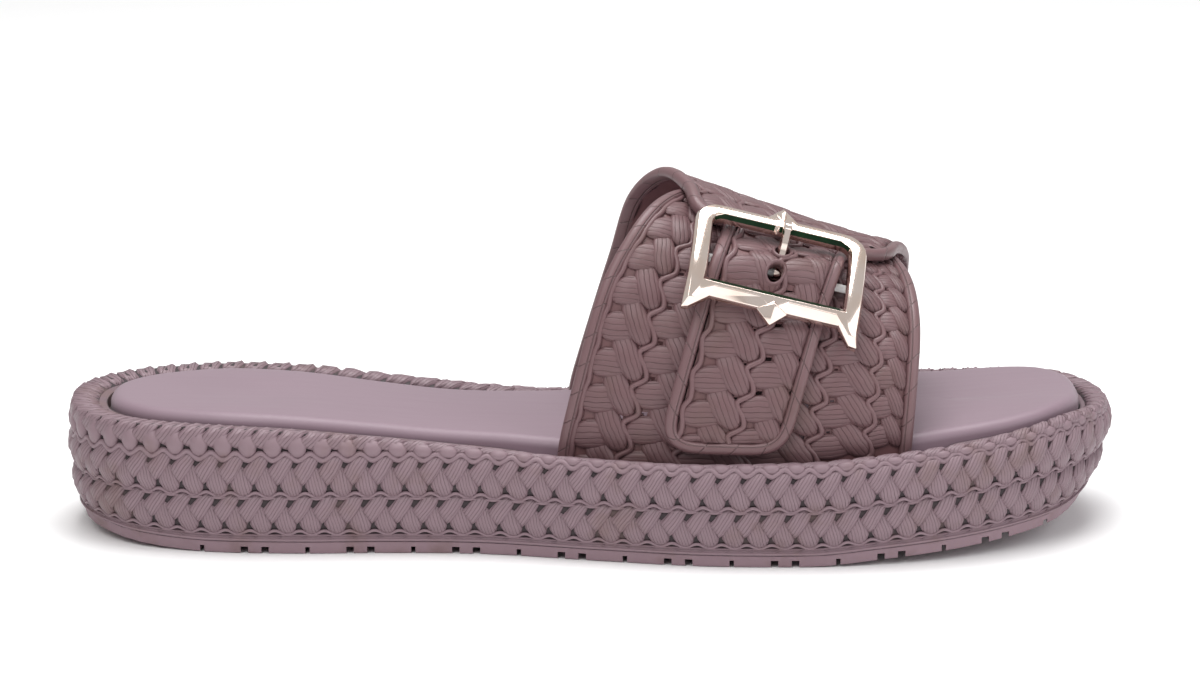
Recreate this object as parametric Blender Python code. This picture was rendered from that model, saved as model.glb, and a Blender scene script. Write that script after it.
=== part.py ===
"""Moulded slide sandal for a right foot, with a plaited platform, two woven straps and a fastened buckle.

X runs from heel to toe, Y from the outer side of the foot to the inner side, and Z is up.
The origin is on the floor, under the middle of the sole. All sizes are in metres.
"""

import math
from collections import namedtuple

import bmesh
import bpy
import numpy as np
from mathutils import Vector

# Sole
SOLE_LENGTH = 0.2670
SOLE_WIDTH = 0.097
HEEL_STACK = 0.0322
SIDE_HEIGHT = 0.0252
TOE_SPRING = 0.010
TOE_TUCK = 0.0068
OUTSOLE_THICKNESS = 0.0030
BAND_HEIGHT = 0.0020
BAND_INSET = 0.0012
SEAM_HEIGHT = 0.0147
PLAIT_PITCH = 0.0063
PLAIT_LEAN = 0.62
PLAIT_RELIEF = 0.0011
PLAIT_VALLEY = 0.0016
RIM_WIDTH = 0.0082
RECESS_DEPTH = 0.0042
FIRST_SLIT = 0.0360
TREAD_PITCH = 0.0265
TREAD_DEPTH = 0.0017
SLIT_WIDTH = 0.0011
PAIR_WIDTH = 0.0019
PAIR_SPACING = 0.0052

# Insole
INSOLE_THICKNESS = 0.0048
INSOLE_EDGE_ROUND = 0.0024
INSOLE_HEEL_GAP = 0.0023
INSOLE_TOE_GAP = 0.0005
INSOLE_POINTS = 64
STRAP_ROOM_SPARE = 0.0013

# Straps
STRAP_THICKNESS = 0.0021
WEAVE_RELIEF = 0.0009
BORDER_WIDTH = 0.0030
BORDER_RELIEF = 0.0006
WEAVE_ROW = 0.0082
INSTEP_HEIGHT = 0.0598
VAMP_HEIGHT = 0.0358
CREST_OFFSET = 0.004
ARCH_ROUNDNESS = 2.4
BASE_CLEAR = 0.0038
DRAPE_START = 0.0088
DRAPE_LENGTH = 0.016
LATERAL_COLUMNS = 5
MEDIAL_COLUMNS = 4
TAB_COLUMNS = 2
TAB_WIDTH = 0.0312
TAB_END = 0.0022
TAB_CORNER = 0.0014
TAB_RISE_REACH = 0.0096
PIN_HOLE_RADIUS = 0.0022
PRONG_HOLE_UP = 0.0038
PIN_HOLE_PITCH = 0.0060
PIN_HOLE_STRETCH = 1.7

# Buckle
BUCKLE_WIDTH = 0.0443
BUCKLE_HEIGHT = 0.0282
BUCKLE_BAR = 0.0045
BUCKLE_THICKNESS = 0.0030
BUCKLE_CHAMFER = 0.0010
BUCKLE_CORNER = 0.0060
BUCKLE_BEND_RADIUS = 0.055
BUCKLE_TURN_DEG = 10.0
BUCKLE_POINT = 0.0052
STUD_WIDTH = 0.0072
STUD_REACH = 0.0042
CENTRE_BAR_RADIUS = 0.0010
PRONG_WIDTH = 0.0023
PRONG_THICKNESS = 0.0015
PRONG_LOOP_WALL = 0.0007
PRONG_OFFSET = 0.0009
PRONG_TIP = 0.0019
LUG_WIDTH = 0.0022
LUG_LENGTH = 0.0032

CLEARANCE = 0.0003

# Half widths of the plan are shares of the sole's width, and along is a share of its length.
Plan = namedtuple("Plan", "along outer inner")
HEEL_TIP = 0.00
TOE_TIP = 0.07
PLAN = [
    Plan(0.012, 0.160, 0.150),
    Plan(0.055, 0.286, 0.275),
    Plan(0.130, 0.356, 0.348),
    Plan(0.220, 0.376, 0.356),
    Plan(0.310, 0.370, 0.342),
    Plan(0.400, 0.380, 0.340),
    Plan(0.500, 0.438, 0.388),
    Plan(0.600, 0.490, 0.456),
    Plan(0.680, 0.500, 0.490),
    Plan(0.760, 0.488, 0.500),
    Plan(0.840, 0.438, 0.482),
    Plan(0.910, 0.352, 0.430),
    Plan(0.962, 0.236, 0.338),
    Plan(0.992, 0.100, 0.222),
]

# floor: bottom edge over the ground (of the toe spring). side: top of the two plaits over the bottom
# edge (of the side height). crest: top of the rolled plait over the bottom edge (of the heel stack).
# tuck: how far the bottom edge draws in (of the toe's tuck).
Profile = namedtuple("Profile", "along floor side crest tuck")
PROFILE = [
    Profile(0.00, 0.34, 0.850, 0.915, 0.32),
    Profile(0.03, 0.22, 0.905, 0.950, 0.28),
    Profile(0.08, 0.08, 0.968, 0.992, 0.20),
    Profile(0.14, 0.00, 1.000, 1.018, 0.16),
    Profile(0.20, 0.00, 1.000, 1.002, 0.14),
    Profile(0.30, 0.00, 1.000, 0.922, 0.14),
    Profile(0.40, 0.00, 0.988, 0.836, 0.14),
    Profile(0.47, 0.00, 0.976, 0.795, 0.14),
    Profile(0.60, 0.00, 0.968, 0.783, 0.14),
    Profile(0.70, 0.00, 0.968, 0.786, 0.14),
    Profile(0.77, 0.14, 0.968, 0.780, 0.16),
    Profile(0.84, 0.27, 0.968, 0.783, 0.20),
    Profile(0.90, 0.40, 0.968, 0.795, 0.32),
    Profile(0.95, 0.53, 0.955, 0.808, 0.50),
    Profile(1.00, 0.86, 0.820, 0.700, 0.86),
]

# Edges of the straps: girth is the share of the way over the foot, from the outer side to the
# inner side, and rear and front are shares of the sole's length.
Edge = namedtuple("Edge", "girth rear front")
LATERAL_EDGES = [
    Edge(0.00, 0.4696, 0.7975),
    Edge(0.13, 0.4878, 0.8025),
    Edge(0.26, 0.5080, 0.8068),
    Edge(0.375, 0.5390, 0.8040),
    Edge(0.47, 0.5670, 0.7980),
    Edge(0.60, 0.6020, 0.7860),
]
MEDIAL_EDGES = [
    Edge(0.40, 0.5960, 0.7540),
    Edge(0.52, 0.5600, 0.7990),
    Edge(0.60, 0.5455, 0.8040),
    Edge(0.74, 0.5225, 0.8060),
    Edge(0.87, 0.5005, 0.8020),
    Edge(1.00, 0.4780, 0.7890),
]
# The rear and front shoulders, where the wide strap narrows to the tab.
REAR_SHOULDER_GIRTH = 0.430
FRONT_SHOULDER_GIRTH = 0.470
TAB_TOP_GIRTH = 0.410
TAB_TOP_CENTRE = 0.6788
TAB_END_CENTRE = 0.6205
BUCKLE_GIRTH = 0.3247
# How much of the girth the tab's root stands over TAB_TOP_GIRTH, where its weave meets the wide part's.
TAB_ROOT = 0.02
# How far past the over strap's edge the under strap still has its gaps, as a share of the girth.
SHOWN_PAST = 0.06
# The rear and front ends of the slope from the instep to the vamp, as shares of the sole's length.
INSTEP_ALONG = 0.561
VAMP_ALONG = 0.802
# Where the straps' rows are counted.
STRAP_MIDDLE_ALONG = 0.66

# Places along the sole where the pad's edge changes: the heel's ledge starts to close, the straps'
# room starts, it starts to end, and the toe's close fit starts.
HEEL_LEDGE_ALONG = 0.10
STRAP_ROOM_ALONG = 0.40
STRAP_ROOM_END_ALONG = 0.84
CLOSE_FIT_ALONG = 0.96
# How far in the rolled plait's crest lies, as a share of the rim's width, where it is low and high.
LOW_ROLL_IN = 0.48
HIGH_ROLL_IN = 0.26
# The prong's heights over the loop's top or over the top bar, at its bends.
PRONG_START = -0.0007
PRONG_RISE = 0.0012
PRONG_SHOULDER = -0.0018
PRONG_CROWN = 0.0005

Finish = namedtuple("Finish", "name colour metallic roughness")
RUBBER = Finish("taupe rubber", (0.30, 0.205, 0.195), 0.0, 0.55)
TREAD_RUBBER = Finish("rough tread rubber", (0.29, 0.20, 0.19), 0.0, 0.8)
STRAP_RUBBER = Finish("strap rubber", (0.285, 0.175, 0.158), 0.0, 0.45)
SOCK = Finish("sock lining", (0.34, 0.235, 0.225), 0.0, 0.6)
GOLD = Finish("pale gold plate", (0.83, 0.69, 0.50), 1.0, 0.18)


def clear_scene():
    for old in list(bpy.data.objects):
        bpy.data.objects.remove(old)


def material(finish):
    """The one material of this finish."""
    found = bpy.data.materials.get(finish.name)
    if found:
        return found
    made = bpy.data.materials.new(finish.name)
    made.use_nodes = True
    shader = made.node_tree.nodes["Principled BSDF"]
    shader.inputs["Base Color"].default_value = (*finish.colour, 1.0)
    shader.inputs["Metallic"].default_value = finish.metallic
    shader.inputs["Roughness"].default_value = finish.roughness
    return made


def make_object(name, bm, finish):
    """Closes the bmesh into a named object."""
    bmesh.ops.recalc_face_normals(bm, faces=bm.faces)
    mesh = bpy.data.meshes.new(name)
    bm.to_mesh(mesh)
    bm.free()
    mesh.materials.append(material(finish))
    mesh.shade_smooth()
    mesh.set_sharp_from_angle(angle=math.radians(32))
    made = bpy.data.objects.new(name, mesh)
    bpy.context.scene.collection.objects.link(made)
    return made


def smooth(rows, column, at):
    """The column's value at this place in the table, on a curve that never overshoots its rows."""
    xs = [row[0] for row in rows]
    ys = [getattr(row, column) for row in rows]
    at = min(max(at, xs[0]), xs[-1])
    slopes = [(ys[i + 1] - ys[i]) / (xs[i + 1] - xs[i]) for i in range(len(xs) - 1)]
    tangents = [slopes[0]]
    for before, after in zip(slopes, slopes[1:]):
        same_way = before * after > 0
        tangents.append(2 * before * after / (before + after) if same_way else 0.0)
    tangents.append(slopes[-1])
    i = min(int(np.searchsorted(xs, at, side="right")) - 1, len(xs) - 2)
    h = xs[i + 1] - xs[i]
    t = (at - xs[i]) / h
    return (
        ys[i] * (2 * t**3 - 3 * t**2 + 1)
        + tangents[i] * h * (t**3 - 2 * t**2 + t)
        + ys[i + 1] * (3 * t**2 - 2 * t**3)
        + tangents[i + 1] * h * (t**3 - t**2)
    )


# Sole outline


def plan_corners():
    """The plan's points, from the heel's tip along the outer side to the toe and back."""
    outer = [(row.along, -row.outer) for row in PLAN]
    inner = [(row.along, row.inner) for row in reversed(PLAN)]
    return [(0.0, HEEL_TIP), *outer, (1.0, TOE_TIP), *inner]


def plan_curve(steps=24):
    """A dense closed curve through the plan's points, as an array of x and y in metres."""
    corners = np.array(plan_corners())
    size = np.array([SOLE_LENGTH, SOLE_WIDTH])
    points = (corners - [0.5, 0.0]) * size
    count = len(points)
    curve = []
    for i in range(count):
        before, start, end, after = (points[(i + k) % count] for k in (-1, 0, 1, 2))
        knots = [0.0]
        for a, b in ((before, start), (start, end), (end, after)):
            knots.append(knots[-1] + math.sqrt(np.linalg.norm(b - a)))
        for t in np.linspace(knots[1], knots[2], steps, endpoint=False):
            a1 = lerp(before, start, knots[0], knots[1], t)
            a2 = lerp(start, end, knots[1], knots[2], t)
            a3 = lerp(end, after, knots[2], knots[3], t)
            b1 = lerp(a1, a2, knots[0], knots[2], t)
            b2 = lerp(a2, a3, knots[1], knots[3], t)
            curve.append(lerp(b1, b2, knots[1], knots[2], t))
    return np.array(curve)


def lerp(low, high, start, end, at):
    share = (at - start) / (end - start)
    return low * (1 - share) + high * share


def measure_plan():
    """The plan curve closed on itself, with its inward normals and its running length."""
    curve = plan_curve()
    ahead = np.roll(curve, -1, axis=0) - np.roll(curve, 1, axis=0)
    ahead /= np.linalg.norm(ahead, axis=1)[:, None]
    inward = np.stack([-ahead[:, 1], ahead[:, 0]], axis=1)
    closed = np.vstack([curve, curve[:1]])
    inward = np.vstack([inward, inward[:1]])
    run = np.concatenate([[0.0], np.cumsum(np.linalg.norm(np.diff(closed, axis=0), axis=1))])
    return closed, inward, run


CURVE, INWARD, RUN = measure_plan()
PERIMETER = RUN[-1]
PLAIT_CELLS = 2 * round(PERIMETER / PLAIT_PITCH / 2)

RimPoint = namedtuple("RimPoint", "x y inward_x inward_y along")


def rim_point(share):
    """The point of the sole's outline at this share of its perimeter."""
    at = (share % 1.0) * PERIMETER
    x, y = (np.interp(at, RUN, CURVE[:, k]) for k in (0, 1))
    nx, ny = (np.interp(at, RUN, INWARD[:, k]) for k in (0, 1))
    length = math.hypot(nx, ny)
    return RimPoint(x, y, nx / length, ny / length, x / SOLE_LENGTH + 0.5)


def profile(column, along):
    size = {"floor": TOE_SPRING, "side": SIDE_HEIGHT, "crest": HEEL_STACK, "tuck": TOE_TUCK}
    return smooth(PROFILE, column, along) * size[column]


def tuck(along, height):
    """How far the side draws in at this height over the bottom edge."""
    share = max(0.0, 1 - height / profile("side", along))
    return profile("tuck", along) * share**1.4


def crest_level(along):
    return profile("floor", along) + profile("crest", along)


def recess_level(along):
    return crest_level(along) - RECESS_DEPTH


def ring(bm, count, phase, inset_at, level_at):
    """A closed row of vertices round the sole. inset_at and level_at take the along share."""
    made = []
    for i in range(count):
        p = rim_point((i + phase) / count)
        inset = inset_at(p.along)
        made.append(bm.verts.new((p.x + p.inward_x * inset, p.y + p.inward_y * inset, level_at(p.along))))
    return made


def band(bm, lower, upper):
    """Quads between two rings of one count."""
    count = len(lower)
    return [
        bm.faces.new((lower[i], lower[(i + 1) % count], upper[(i + 1) % count], upper[i]))
        for i in range(count)
    ]


def cap(bm, loop):
    """Closes a ring with strips from its outer side to its inner side, so that it follows the arch."""
    count = len(loop)
    bm.faces.new((loop[0], loop[1], loop[-1]))
    for i in range(1, count // 2 - 1):
        bm.faces.new((loop[i], loop[i + 1], loop[count - i - 1], loop[count - i]))
    half = count // 2
    bm.faces.new((loop[half - 1], loop[half], loop[half + 1]))


def side_level(height):
    return lambda along: profile("floor", along) + height * side_share(along)


def side_share(along):
    """How far the side's rows close up where the wall is lower, at the heel's and the toe's ends."""
    return smooth(PROFILE, "side", along)


def side_inset(height, inset):
    return lambda along: inset + tuck(along, height * side_share(along))


def build_outsole():
    """The rough tread: a flat slab under the whole sole, with slits and pairs of grooves across."""
    bm = bmesh.new()
    bottom = ring(
        bm,
        PLAIT_CELLS,
        0.0,
        side_inset(0.0, BAND_INSET + PLAIT_VALLEY / 3),
        side_level(0.0),
    )
    top = ring(
        bm,
        PLAIT_CELLS,
        0.0,
        side_inset(OUTSOLE_THICKNESS, BAND_INSET),
        side_level(OUTSOLE_THICKNESS),
    )
    band(bm, bottom, top)
    cap(bm, top)
    cap(bm, bottom)
    outsole = make_object("outsole", bm, TREAD_RUBBER)
    cutters = bmesh.new()
    for x, width in tread_slits():
        floor = profile("floor", x / SOLE_LENGTH + 0.5)
        box = bmesh.ops.create_cube(cutters, size=1.0)["verts"]
        bmesh.ops.scale(cutters, vec=(width, 2 * SOLE_WIDTH, 2 * TREAD_DEPTH), verts=box)
        bmesh.ops.translate(cutters, vec=(x, 0.0, floor), verts=box)
    cut_away(outsole, "tread_cutters", cutters)
    return outsole


def tread_slits():
    """Each groove's place and width: a slit, and a pair of grooves half way to the next slit."""
    half = SOLE_LENGTH / 2
    found = []
    for i in range(int(SOLE_LENGTH / TREAD_PITCH) - 1):
        slit = FIRST_SLIT - half + i * TREAD_PITCH
        found.append((slit, SLIT_WIDTH))
        middle = slit + TREAD_PITCH / 2
        if middle < half - TREAD_PITCH:
            found += [(middle + side * PAIR_SPACING / 2, PAIR_WIDTH) for side in (-1, 1)]
    return found


def cut_away(target, name, cutter_bm):
    """A Boolean that takes the cutter's shapes out of the target."""
    bmesh.ops.recalc_face_normals(cutter_bm, faces=cutter_bm.faces)
    mesh = bpy.data.meshes.new(name)
    cutter_bm.to_mesh(mesh)
    cutter_bm.free()
    cutter = bpy.data.objects.new(name, mesh)
    bpy.context.scene.collection.objects.link(cutter)
    cutter.hide_render = True
    cutter.display_type = "WIRE"
    modifier = target.modifiers.new(name, "BOOLEAN")
    modifier.operation = "DIFFERENCE"
    modifier.object = cutter


def build_midsole():
    """The platform: a plain band, two plaits up the side and a third rolled over the edge."""
    bm = bmesh.new()
    cells = PLAIT_CELLS
    band_top = OUTSOLE_THICKNESS + BAND_HEIGHT
    seat = side_level(OUTSOLE_THICKNESS)
    base_inset = side_inset(OUTSOLE_THICKNESS, BAND_INSET)
    base = ring(bm, cells, 0.0, base_inset, lambda along: seat(along) + CLEARANCE)
    band_edge = ring(bm, cells, 0.0, side_inset(band_top, BAND_INSET - PLAIT_RELIEF / 2), side_level(band_top))
    cap(bm, base)
    band(bm, base, band_edge)

    leaves = []
    lower_rows = [
        (band_top + PLAIT_RELIEF / 2, PLAIT_VALLEY, 0.0),
        ((band_top + SEAM_HEIGHT) / 2, PLAIT_VALLEY / 2, -PLAIT_LEAN),
        (SEAM_HEIGHT, PLAIT_VALLEY, 0.0),
        ((SEAM_HEIGHT + SIDE_HEIGHT) / 2, PLAIT_VALLEY / 2, -PLAIT_LEAN),
        (SIDE_HEIGHT, PLAIT_VALLEY, 0.0),
    ]
    below = band_edge
    for number, (height, inset, phase) in enumerate(lower_rows):
        row = ring(bm, cells, phase, side_inset(height, inset), side_level(height))
        faces = band(bm, below, row)
        if number:
            leaves += faces
        below = row

    def roll_inset(along):
        """The rolled plait's middle lies further in where the roll is low."""
        rise = profile("crest", along) - profile("side", along)
        share = min(1.0, rise / (HEEL_STACK - SIDE_HEIGHT))
        return RIM_WIDTH * (LOW_ROLL_IN + (HIGH_ROLL_IN - LOW_ROLL_IN) * share)

    def roll_level(along):
        return crest_level(along) - PLAIT_RELIEF / 2

    middle = ring(bm, cells, -PLAIT_LEAN, roll_inset, roll_level)
    inner = ring(bm, cells, 0.0, lambda along: RIM_WIDTH, lambda along: crest_level(along) - PLAIT_RELIEF)
    leaves += band(bm, below, middle)
    leaves += band(bm, middle, inner)
    foot = ring(bm, cells, 0.0, lambda along: RIM_WIDTH, recess_level)
    band(bm, inner, foot)
    cap(bm, foot)
    bmesh.ops.recalc_face_normals(bm, faces=bm.faces)
    bmesh.ops.poke(bm, faces=leaves, offset=PLAIT_RELIEF)
    return make_object("midsole", bm, RUBBER)


def insole_inset(along):
    """The pad leaves a ledge at the heel, room for the straps at its sides, and none at the toe."""
    strap_room = STRAP_THICKNESS + WEAVE_RELIEF + STRAP_ROOM_SPARE
    if along < STRAP_ROOM_ALONG:
        share = smoothstep((along - HEEL_LEDGE_ALONG) / (STRAP_ROOM_ALONG - HEEL_LEDGE_ALONG))
        gap = INSOLE_HEEL_GAP * (1 - share) + strap_room * share
    else:
        share = smoothstep((along - STRAP_ROOM_END_ALONG) / (CLOSE_FIT_ALONG - STRAP_ROOM_END_ALONG))
        gap = strap_room * (1 - share) + INSOLE_TOE_GAP * share
    return RIM_WIDTH + gap


def smoothstep(t):
    t = min(max(t, 0.0), 1.0)
    return t * t * (3 - 2 * t)


def build_insole():
    """The padded sock: a flat pad in the recess, with a rounded upper edge."""
    bm = bmesh.new()

    def at(height, draw_in):
        return ring(
            bm,
            INSOLE_POINTS,
            0.0,
            lambda along: insole_inset(along) + draw_in,
            lambda along: recess_level(along) + CLEARANCE + height,
        )

    turn = INSOLE_EDGE_ROUND
    rows = [at(0.0, 0.0)]
    for degrees in (0, 35, 65):
        angle = math.radians(degrees)
        rows.append(at(INSOLE_THICKNESS - turn * (1 - math.sin(angle)), turn * (1 - math.cos(angle))))
    rows.append(at(INSOLE_THICKNESS, 1.6 * turn))
    for lower, upper in zip(rows, rows[1:]):
        band(bm, lower, upper)
    cap(bm, rows[0])
    cap(bm, rows[-1])
    return make_object("insole", bm, SOCK)


# Foot form, over which the straps lie


def side_line(inset):
    """The outline drawn in by this much, as y over x on the outer and on the inner side."""
    points = CURVE[:-1] + INWARD[:-1] * inset
    heel, toe = int(np.argmin(points[:, 0])), int(np.argmax(points[:, 0]))
    loop = np.roll(points, -heel, axis=0)
    split = (toe - heel) % len(points)
    outer, inner = loop[: split + 1], loop[split:][::-1]
    return tuple(side[np.argsort(side[:, 0])] for side in (outer, inner))


STRAP_INSET = RIM_WIDTH + 3 * CLEARANCE + STRAP_THICKNESS + WEAVE_RELIEF
OUTER_LINE, INNER_LINE = side_line(STRAP_INSET)


def foot_height(along):
    """Height of the foot's top over the sole's crest line, falling from the instep to the vamp."""
    share = (along - INSTEP_ALONG) / (VAMP_ALONG - INSTEP_ALONG)
    return INSTEP_HEIGHT + (VAMP_HEIGHT - INSTEP_HEIGHT) * share


SECTIONS = {}

# The least cosine of half a corner's turn: a sharper corner of the bead is rounded.
SQUARE_CORNER = 0.85


def section(x):
    """Half a loop over the foot at this x: arrays of y, z and running length, from the outer side."""
    key = round(x, 5)
    if key not in SECTIONS:
        along = key / SOLE_LENGTH + 0.5
        outer = np.interp(key, OUTER_LINE[:, 0], OUTER_LINE[:, 1])
        inner = np.interp(key, INNER_LINE[:, 0], INNER_LINE[:, 1])
        turn = np.linspace(0, math.pi, 181)
        power = 2 / ARCH_ROUNDNESS
        across = np.sign(np.cos(turn)) * np.abs(np.cos(turn)) ** power
        half = np.where(across > 0, CREST_OFFSET - outer, inner - CREST_OFFSET)
        y = CREST_OFFSET - across * half
        z = crest_level(along) + foot_height(along) * np.sin(turn) ** power
        run = np.concatenate([[0.0], np.cumsum(np.hypot(np.diff(y), np.diff(z)))])
        SECTIONS[key] = (y, z, run)
    return SECTIONS[key]


def girth_at(x):
    return section(x)[2][-1]


def foot_point(x, run):
    """The foot's surface at x and this far over it. Past either end it goes straight down."""
    y, z, length = section(x)
    below = max(-run, 0.0) + max(run - length[-1], 0.0)
    at = min(max(run, 0.0), length[-1])
    return np.array([x, np.interp(at, length, y), np.interp(at, length, z) - below])


def foot_normal(x, run):
    step = 0.0008
    across = foot_point(x, run + step) - foot_point(x, run - step)
    along = foot_point(x + step, run) - foot_point(x - step, run)
    normal = np.cross(along, across)
    return normal / np.linalg.norm(normal)


# Straps: a sheet is a list of flat places with a rise, faces over them, and what lies below


class Sheet:
    """A woven wall, laid out by x and run over the foot, and then given its thickness."""

    def __init__(self):
        self.places = []
        self.rises = []
        self.outer_faces = []
        self.inner_faces = []
        self.index = {}

    def place(self, key, spot, rise=0.0):
        """The index of the point with this key, made at its spot the first time."""
        if key not in self.index:
            self.index[key] = len(self.places)
            self.places.append(spot)
            self.rises.append(rise)
        return self.index[key]

    def both(self, *corners):
        self.outer_faces.append(corners)
        self.inner_faces.append(corners)

    def edges(self):
        """The directed edges that only one face has: the border and the holes."""
        used = {}
        for face in self.outer_faces:
            for a, b in zip(face, face[1:] + face[:1]):
                used[(a, b)] = True
        return [(a, b) for a, b in used if (b, a) not in used]

    def solid(self, name, lift):
        """The closed wall. lift gives the inner face's distance from the foot at a place."""
        bm = bmesh.new()
        sides = []
        for raised in (True, False):
            faces = self.outer_faces if raised else self.inner_faces
            needed = {corner for face in faces for corner in face}
            verts = {}
            for i in sorted(needed):
                x, run = self.places[i]
                off = lift(x, run) + (STRAP_THICKNESS + self.rises[i] if raised else 0.0)
                verts[i] = bm.verts.new(foot_point(x, run) + foot_normal(x, run) * off)
            sides.append(verts)
            for face in faces:
                corners = face if raised else face[::-1]
                bm.faces.new([verts[i] for i in corners])
        top, under = sides
        for a, b in self.edges():
            bm.faces.new((top[b], top[a], under[a], under[b]))
        bmesh.ops.triangulate(bm, faces=bm.faces)
        return make_object(name, bm, STRAP_RUBBER)


def weave_cell(sheet, column, row, corner, with_gap):
    """One crossing of the plait: a flat oval at the rear, and a leaf that runs down to the front."""

    def at(across, up, rise=0.0):
        low = corner(column, row) * (1 - across) + corner(column + 1, row) * across
        high = corner(column, row + 1) * (1 - across) + corner(column + 1, row + 1) * across
        key = (round(column + across, 4), round(row + up, 4))
        return sheet.place(key, low * (1 - up) + high * up, rise * WEAVE_RELIEF)

    a, b, c = at(0, 0), at(0.5, 0, 0.2), at(1, 0)
    l, m, n = at(0, 0.5), at(0.5, 0.5, 0.3), at(1, 0.5)
    d, e, f = at(0, 1), at(0.5, 1, 0.2), at(1, 1)
    oval = at(0.25, 0.74, 1.0)
    low, high = at(0.80, 0.30, 1.0), at(0.70, 0.72, 0.9)
    for face in ((b, c, low), (c, n, low), (n, high, low), (n, f, high), (f, e, high), (e, m, high)):
        sheet.outer_faces.append(face)
    for face in ((m, low, high), (m, b, low)):
        sheet.outer_faces.append(face)
    for face in ((b, c, n, m), (m, n, f, e)):
        sheet.inner_faces.append(face)
    if with_gap:
        g, h, k = at(0.10, 0.10), at(0.42, 0.10), at(0.37, 0.38)
        for face in ((a, b, h, g), (b, m, k, h), (a, g, k, l)):
            sheet.both(*face)
        ring_of_oval = (l, k, m, e, d)
    else:
        ring_of_oval = (a, b, m, e, d, l)
    for p, q in zip(ring_of_oval, ring_of_oval[1:] + ring_of_oval[:1]):
        sheet.outer_faces.append((p, q, oval))
    sheet.inner_faces.append(ring_of_oval)


def add_border(sheet, keep_open):
    """A moulded bead round the woven part, BORDER_WIDTH wide, past every edge that isn't a hole."""
    loop = [pair for pair in sheet.edges() if not keep_open(pair)]
    before, after = {}, {}
    for a, b in loop:
        ahead = np.array(sheet.places[b]) - np.array(sheet.places[a])
        normal = np.array([ahead[1], -ahead[0]]) / np.linalg.norm(ahead)
        before[b] = normal
        after[a] = normal

    def rim(corner, side, direction, reach):
        spot = np.array(sheet.places[corner]) + direction * reach
        return sheet.place((side, corner), spot, BORDER_RELIEF)

    starts, ends = {}, {}
    for corner in sorted(set(before) | set(after)):
        sheet.rises[corner] = BORDER_RELIEF
        first, second = before.get(corner), after.get(corner)
        first, second = (second if first is None else first), (first if second is None else second)
        mean = (first + second) / np.linalg.norm(first + second)
        middle = rim(corner, "rim", mean, BORDER_WIDTH / max(0.5, float(mean @ first)))
        ends[corner] = starts[corner] = middle
        if float(mean @ first) < SQUARE_CORNER and first[0] * second[1] > first[1] * second[0]:
            ends[corner] = rim(corner, "rim before", first, BORDER_WIDTH)
            starts[corner] = rim(corner, "rim after", second, BORDER_WIDTH)
            sheet.places[middle] = np.array(sheet.places[corner]) + mean * BORDER_WIDTH
            sheet.both(corner, ends[corner], middle)
            sheet.both(corner, middle, starts[corner])
    for a, b in loop:
        sheet.both(b, a, starts[a], ends[b])


def edge_x(edges, column, girth):
    return (smooth(edges, column, girth) - 0.5) * SOLE_LENGTH


def inner_hole(sheet):
    """Tells the weave's gaps from the strap's own edge: their corners lie inside a cell."""
    keys = {index: key for key, index in sheet.index.items()}

    def is_hole(pair):
        return all(keys[i][0] != "rim" and is_inside(keys[i]) for i in pair)

    def is_inside(key):
        return any(abs(value * 2 - round(value * 2)) > 1e-6 for value in key)

    return is_hole


def base_rows(sheet, base_line, down):
    """Plain rows from the lowest woven line down into the sole."""
    for a, b in zip(base_line, base_line[1:]):
        low = []
        for i in (a, b):
            x, run = sheet.places[i]
            deep = crest_level(x / SOLE_LENGTH + 0.5) - recess_level(x / SOLE_LENGTH + 0.5) - 2 * CLEARANCE
            end = -deep if down else girth_at(x) + deep
            low.append(sheet.place(("base", i), np.array([x, end])))
        sheet.both(*((low[0], low[1], b, a) if down else (a, b, low[1], low[0])))


def overlap_end(x):
    """How far over the foot the outer strap reaches."""
    return LATERAL_EDGES[-1].girth * girth_at(x)


def build_lateral_strap():
    """The strap from the outer side, which passes under the other one."""
    sheet = Sheet()
    top_girth = LATERAL_EDGES[-1].girth
    rows = round(top_girth * girth_at((STRAP_MIDDLE_ALONG - 0.5) * SOLE_LENGTH) / WEAVE_ROW)
    start = base_clear_girth()

    def corner(column, row):
        girth = start + (top_girth - start) * row / rows
        rear = edge_x(LATERAL_EDGES, "rear", girth) + BORDER_WIDTH
        front = edge_x(LATERAL_EDGES, "front", girth) - BORDER_WIDTH
        x = rear + (front - rear) * column / LATERAL_COLUMNS
        return np.array([x, girth * girth_at(x)])

    covered = MEDIAL_EDGES[0].girth
    for row in range(rows):
        shown = start + (top_girth - start) * (row + 1) / rows < covered + SHOWN_PAST
        for column in range(LATERAL_COLUMNS):
            weave_cell(sheet, column, row, corner, shown)
    finish_strap(sheet, rows, 0)
    return sheet.solid("strap_lateral", lambda x, run: 0.0)


def base_clear_girth():
    """The girth share at which the weave starts, just clear of the rolled plait."""
    return BASE_CLEAR / girth_at((STRAP_MIDDLE_ALONG - 0.5) * SOLE_LENGTH)


def finish_strap(sheet, rows, base_row):
    """Adds the strap's border beads and its plain rows in the sole."""
    sole_line = sorted(
        (key[0], index)
        for key, index in sheet.index.items()
        if key[0] not in ("rim", "base") and abs(key[1] - base_row) < 1e-6
    )
    line = [index for _, index in sole_line]
    in_line = set(line)
    is_hole = inner_hole(sheet)
    add_border(sheet, lambda pair: is_hole(pair) or (pair[0] in in_line and pair[1] in in_line))
    ends = [sheet.index[("rim", line[0])], *line, sheet.index[("rim", line[-1])]]
    base_rows(sheet, ends, down=base_row == 0)


def over_lift(x, run):
    """How far the strap from the inner side lies off the foot: over the other strap, then on the foot."""
    stack = STRAP_THICKNESS + WEAVE_RELIEF + CLEARANCE
    past = run - overlap_end(x) - DRAPE_START
    return stack * (1 - smoothstep(past / DRAPE_LENGTH)) + buckle_lift(x, run)


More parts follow.
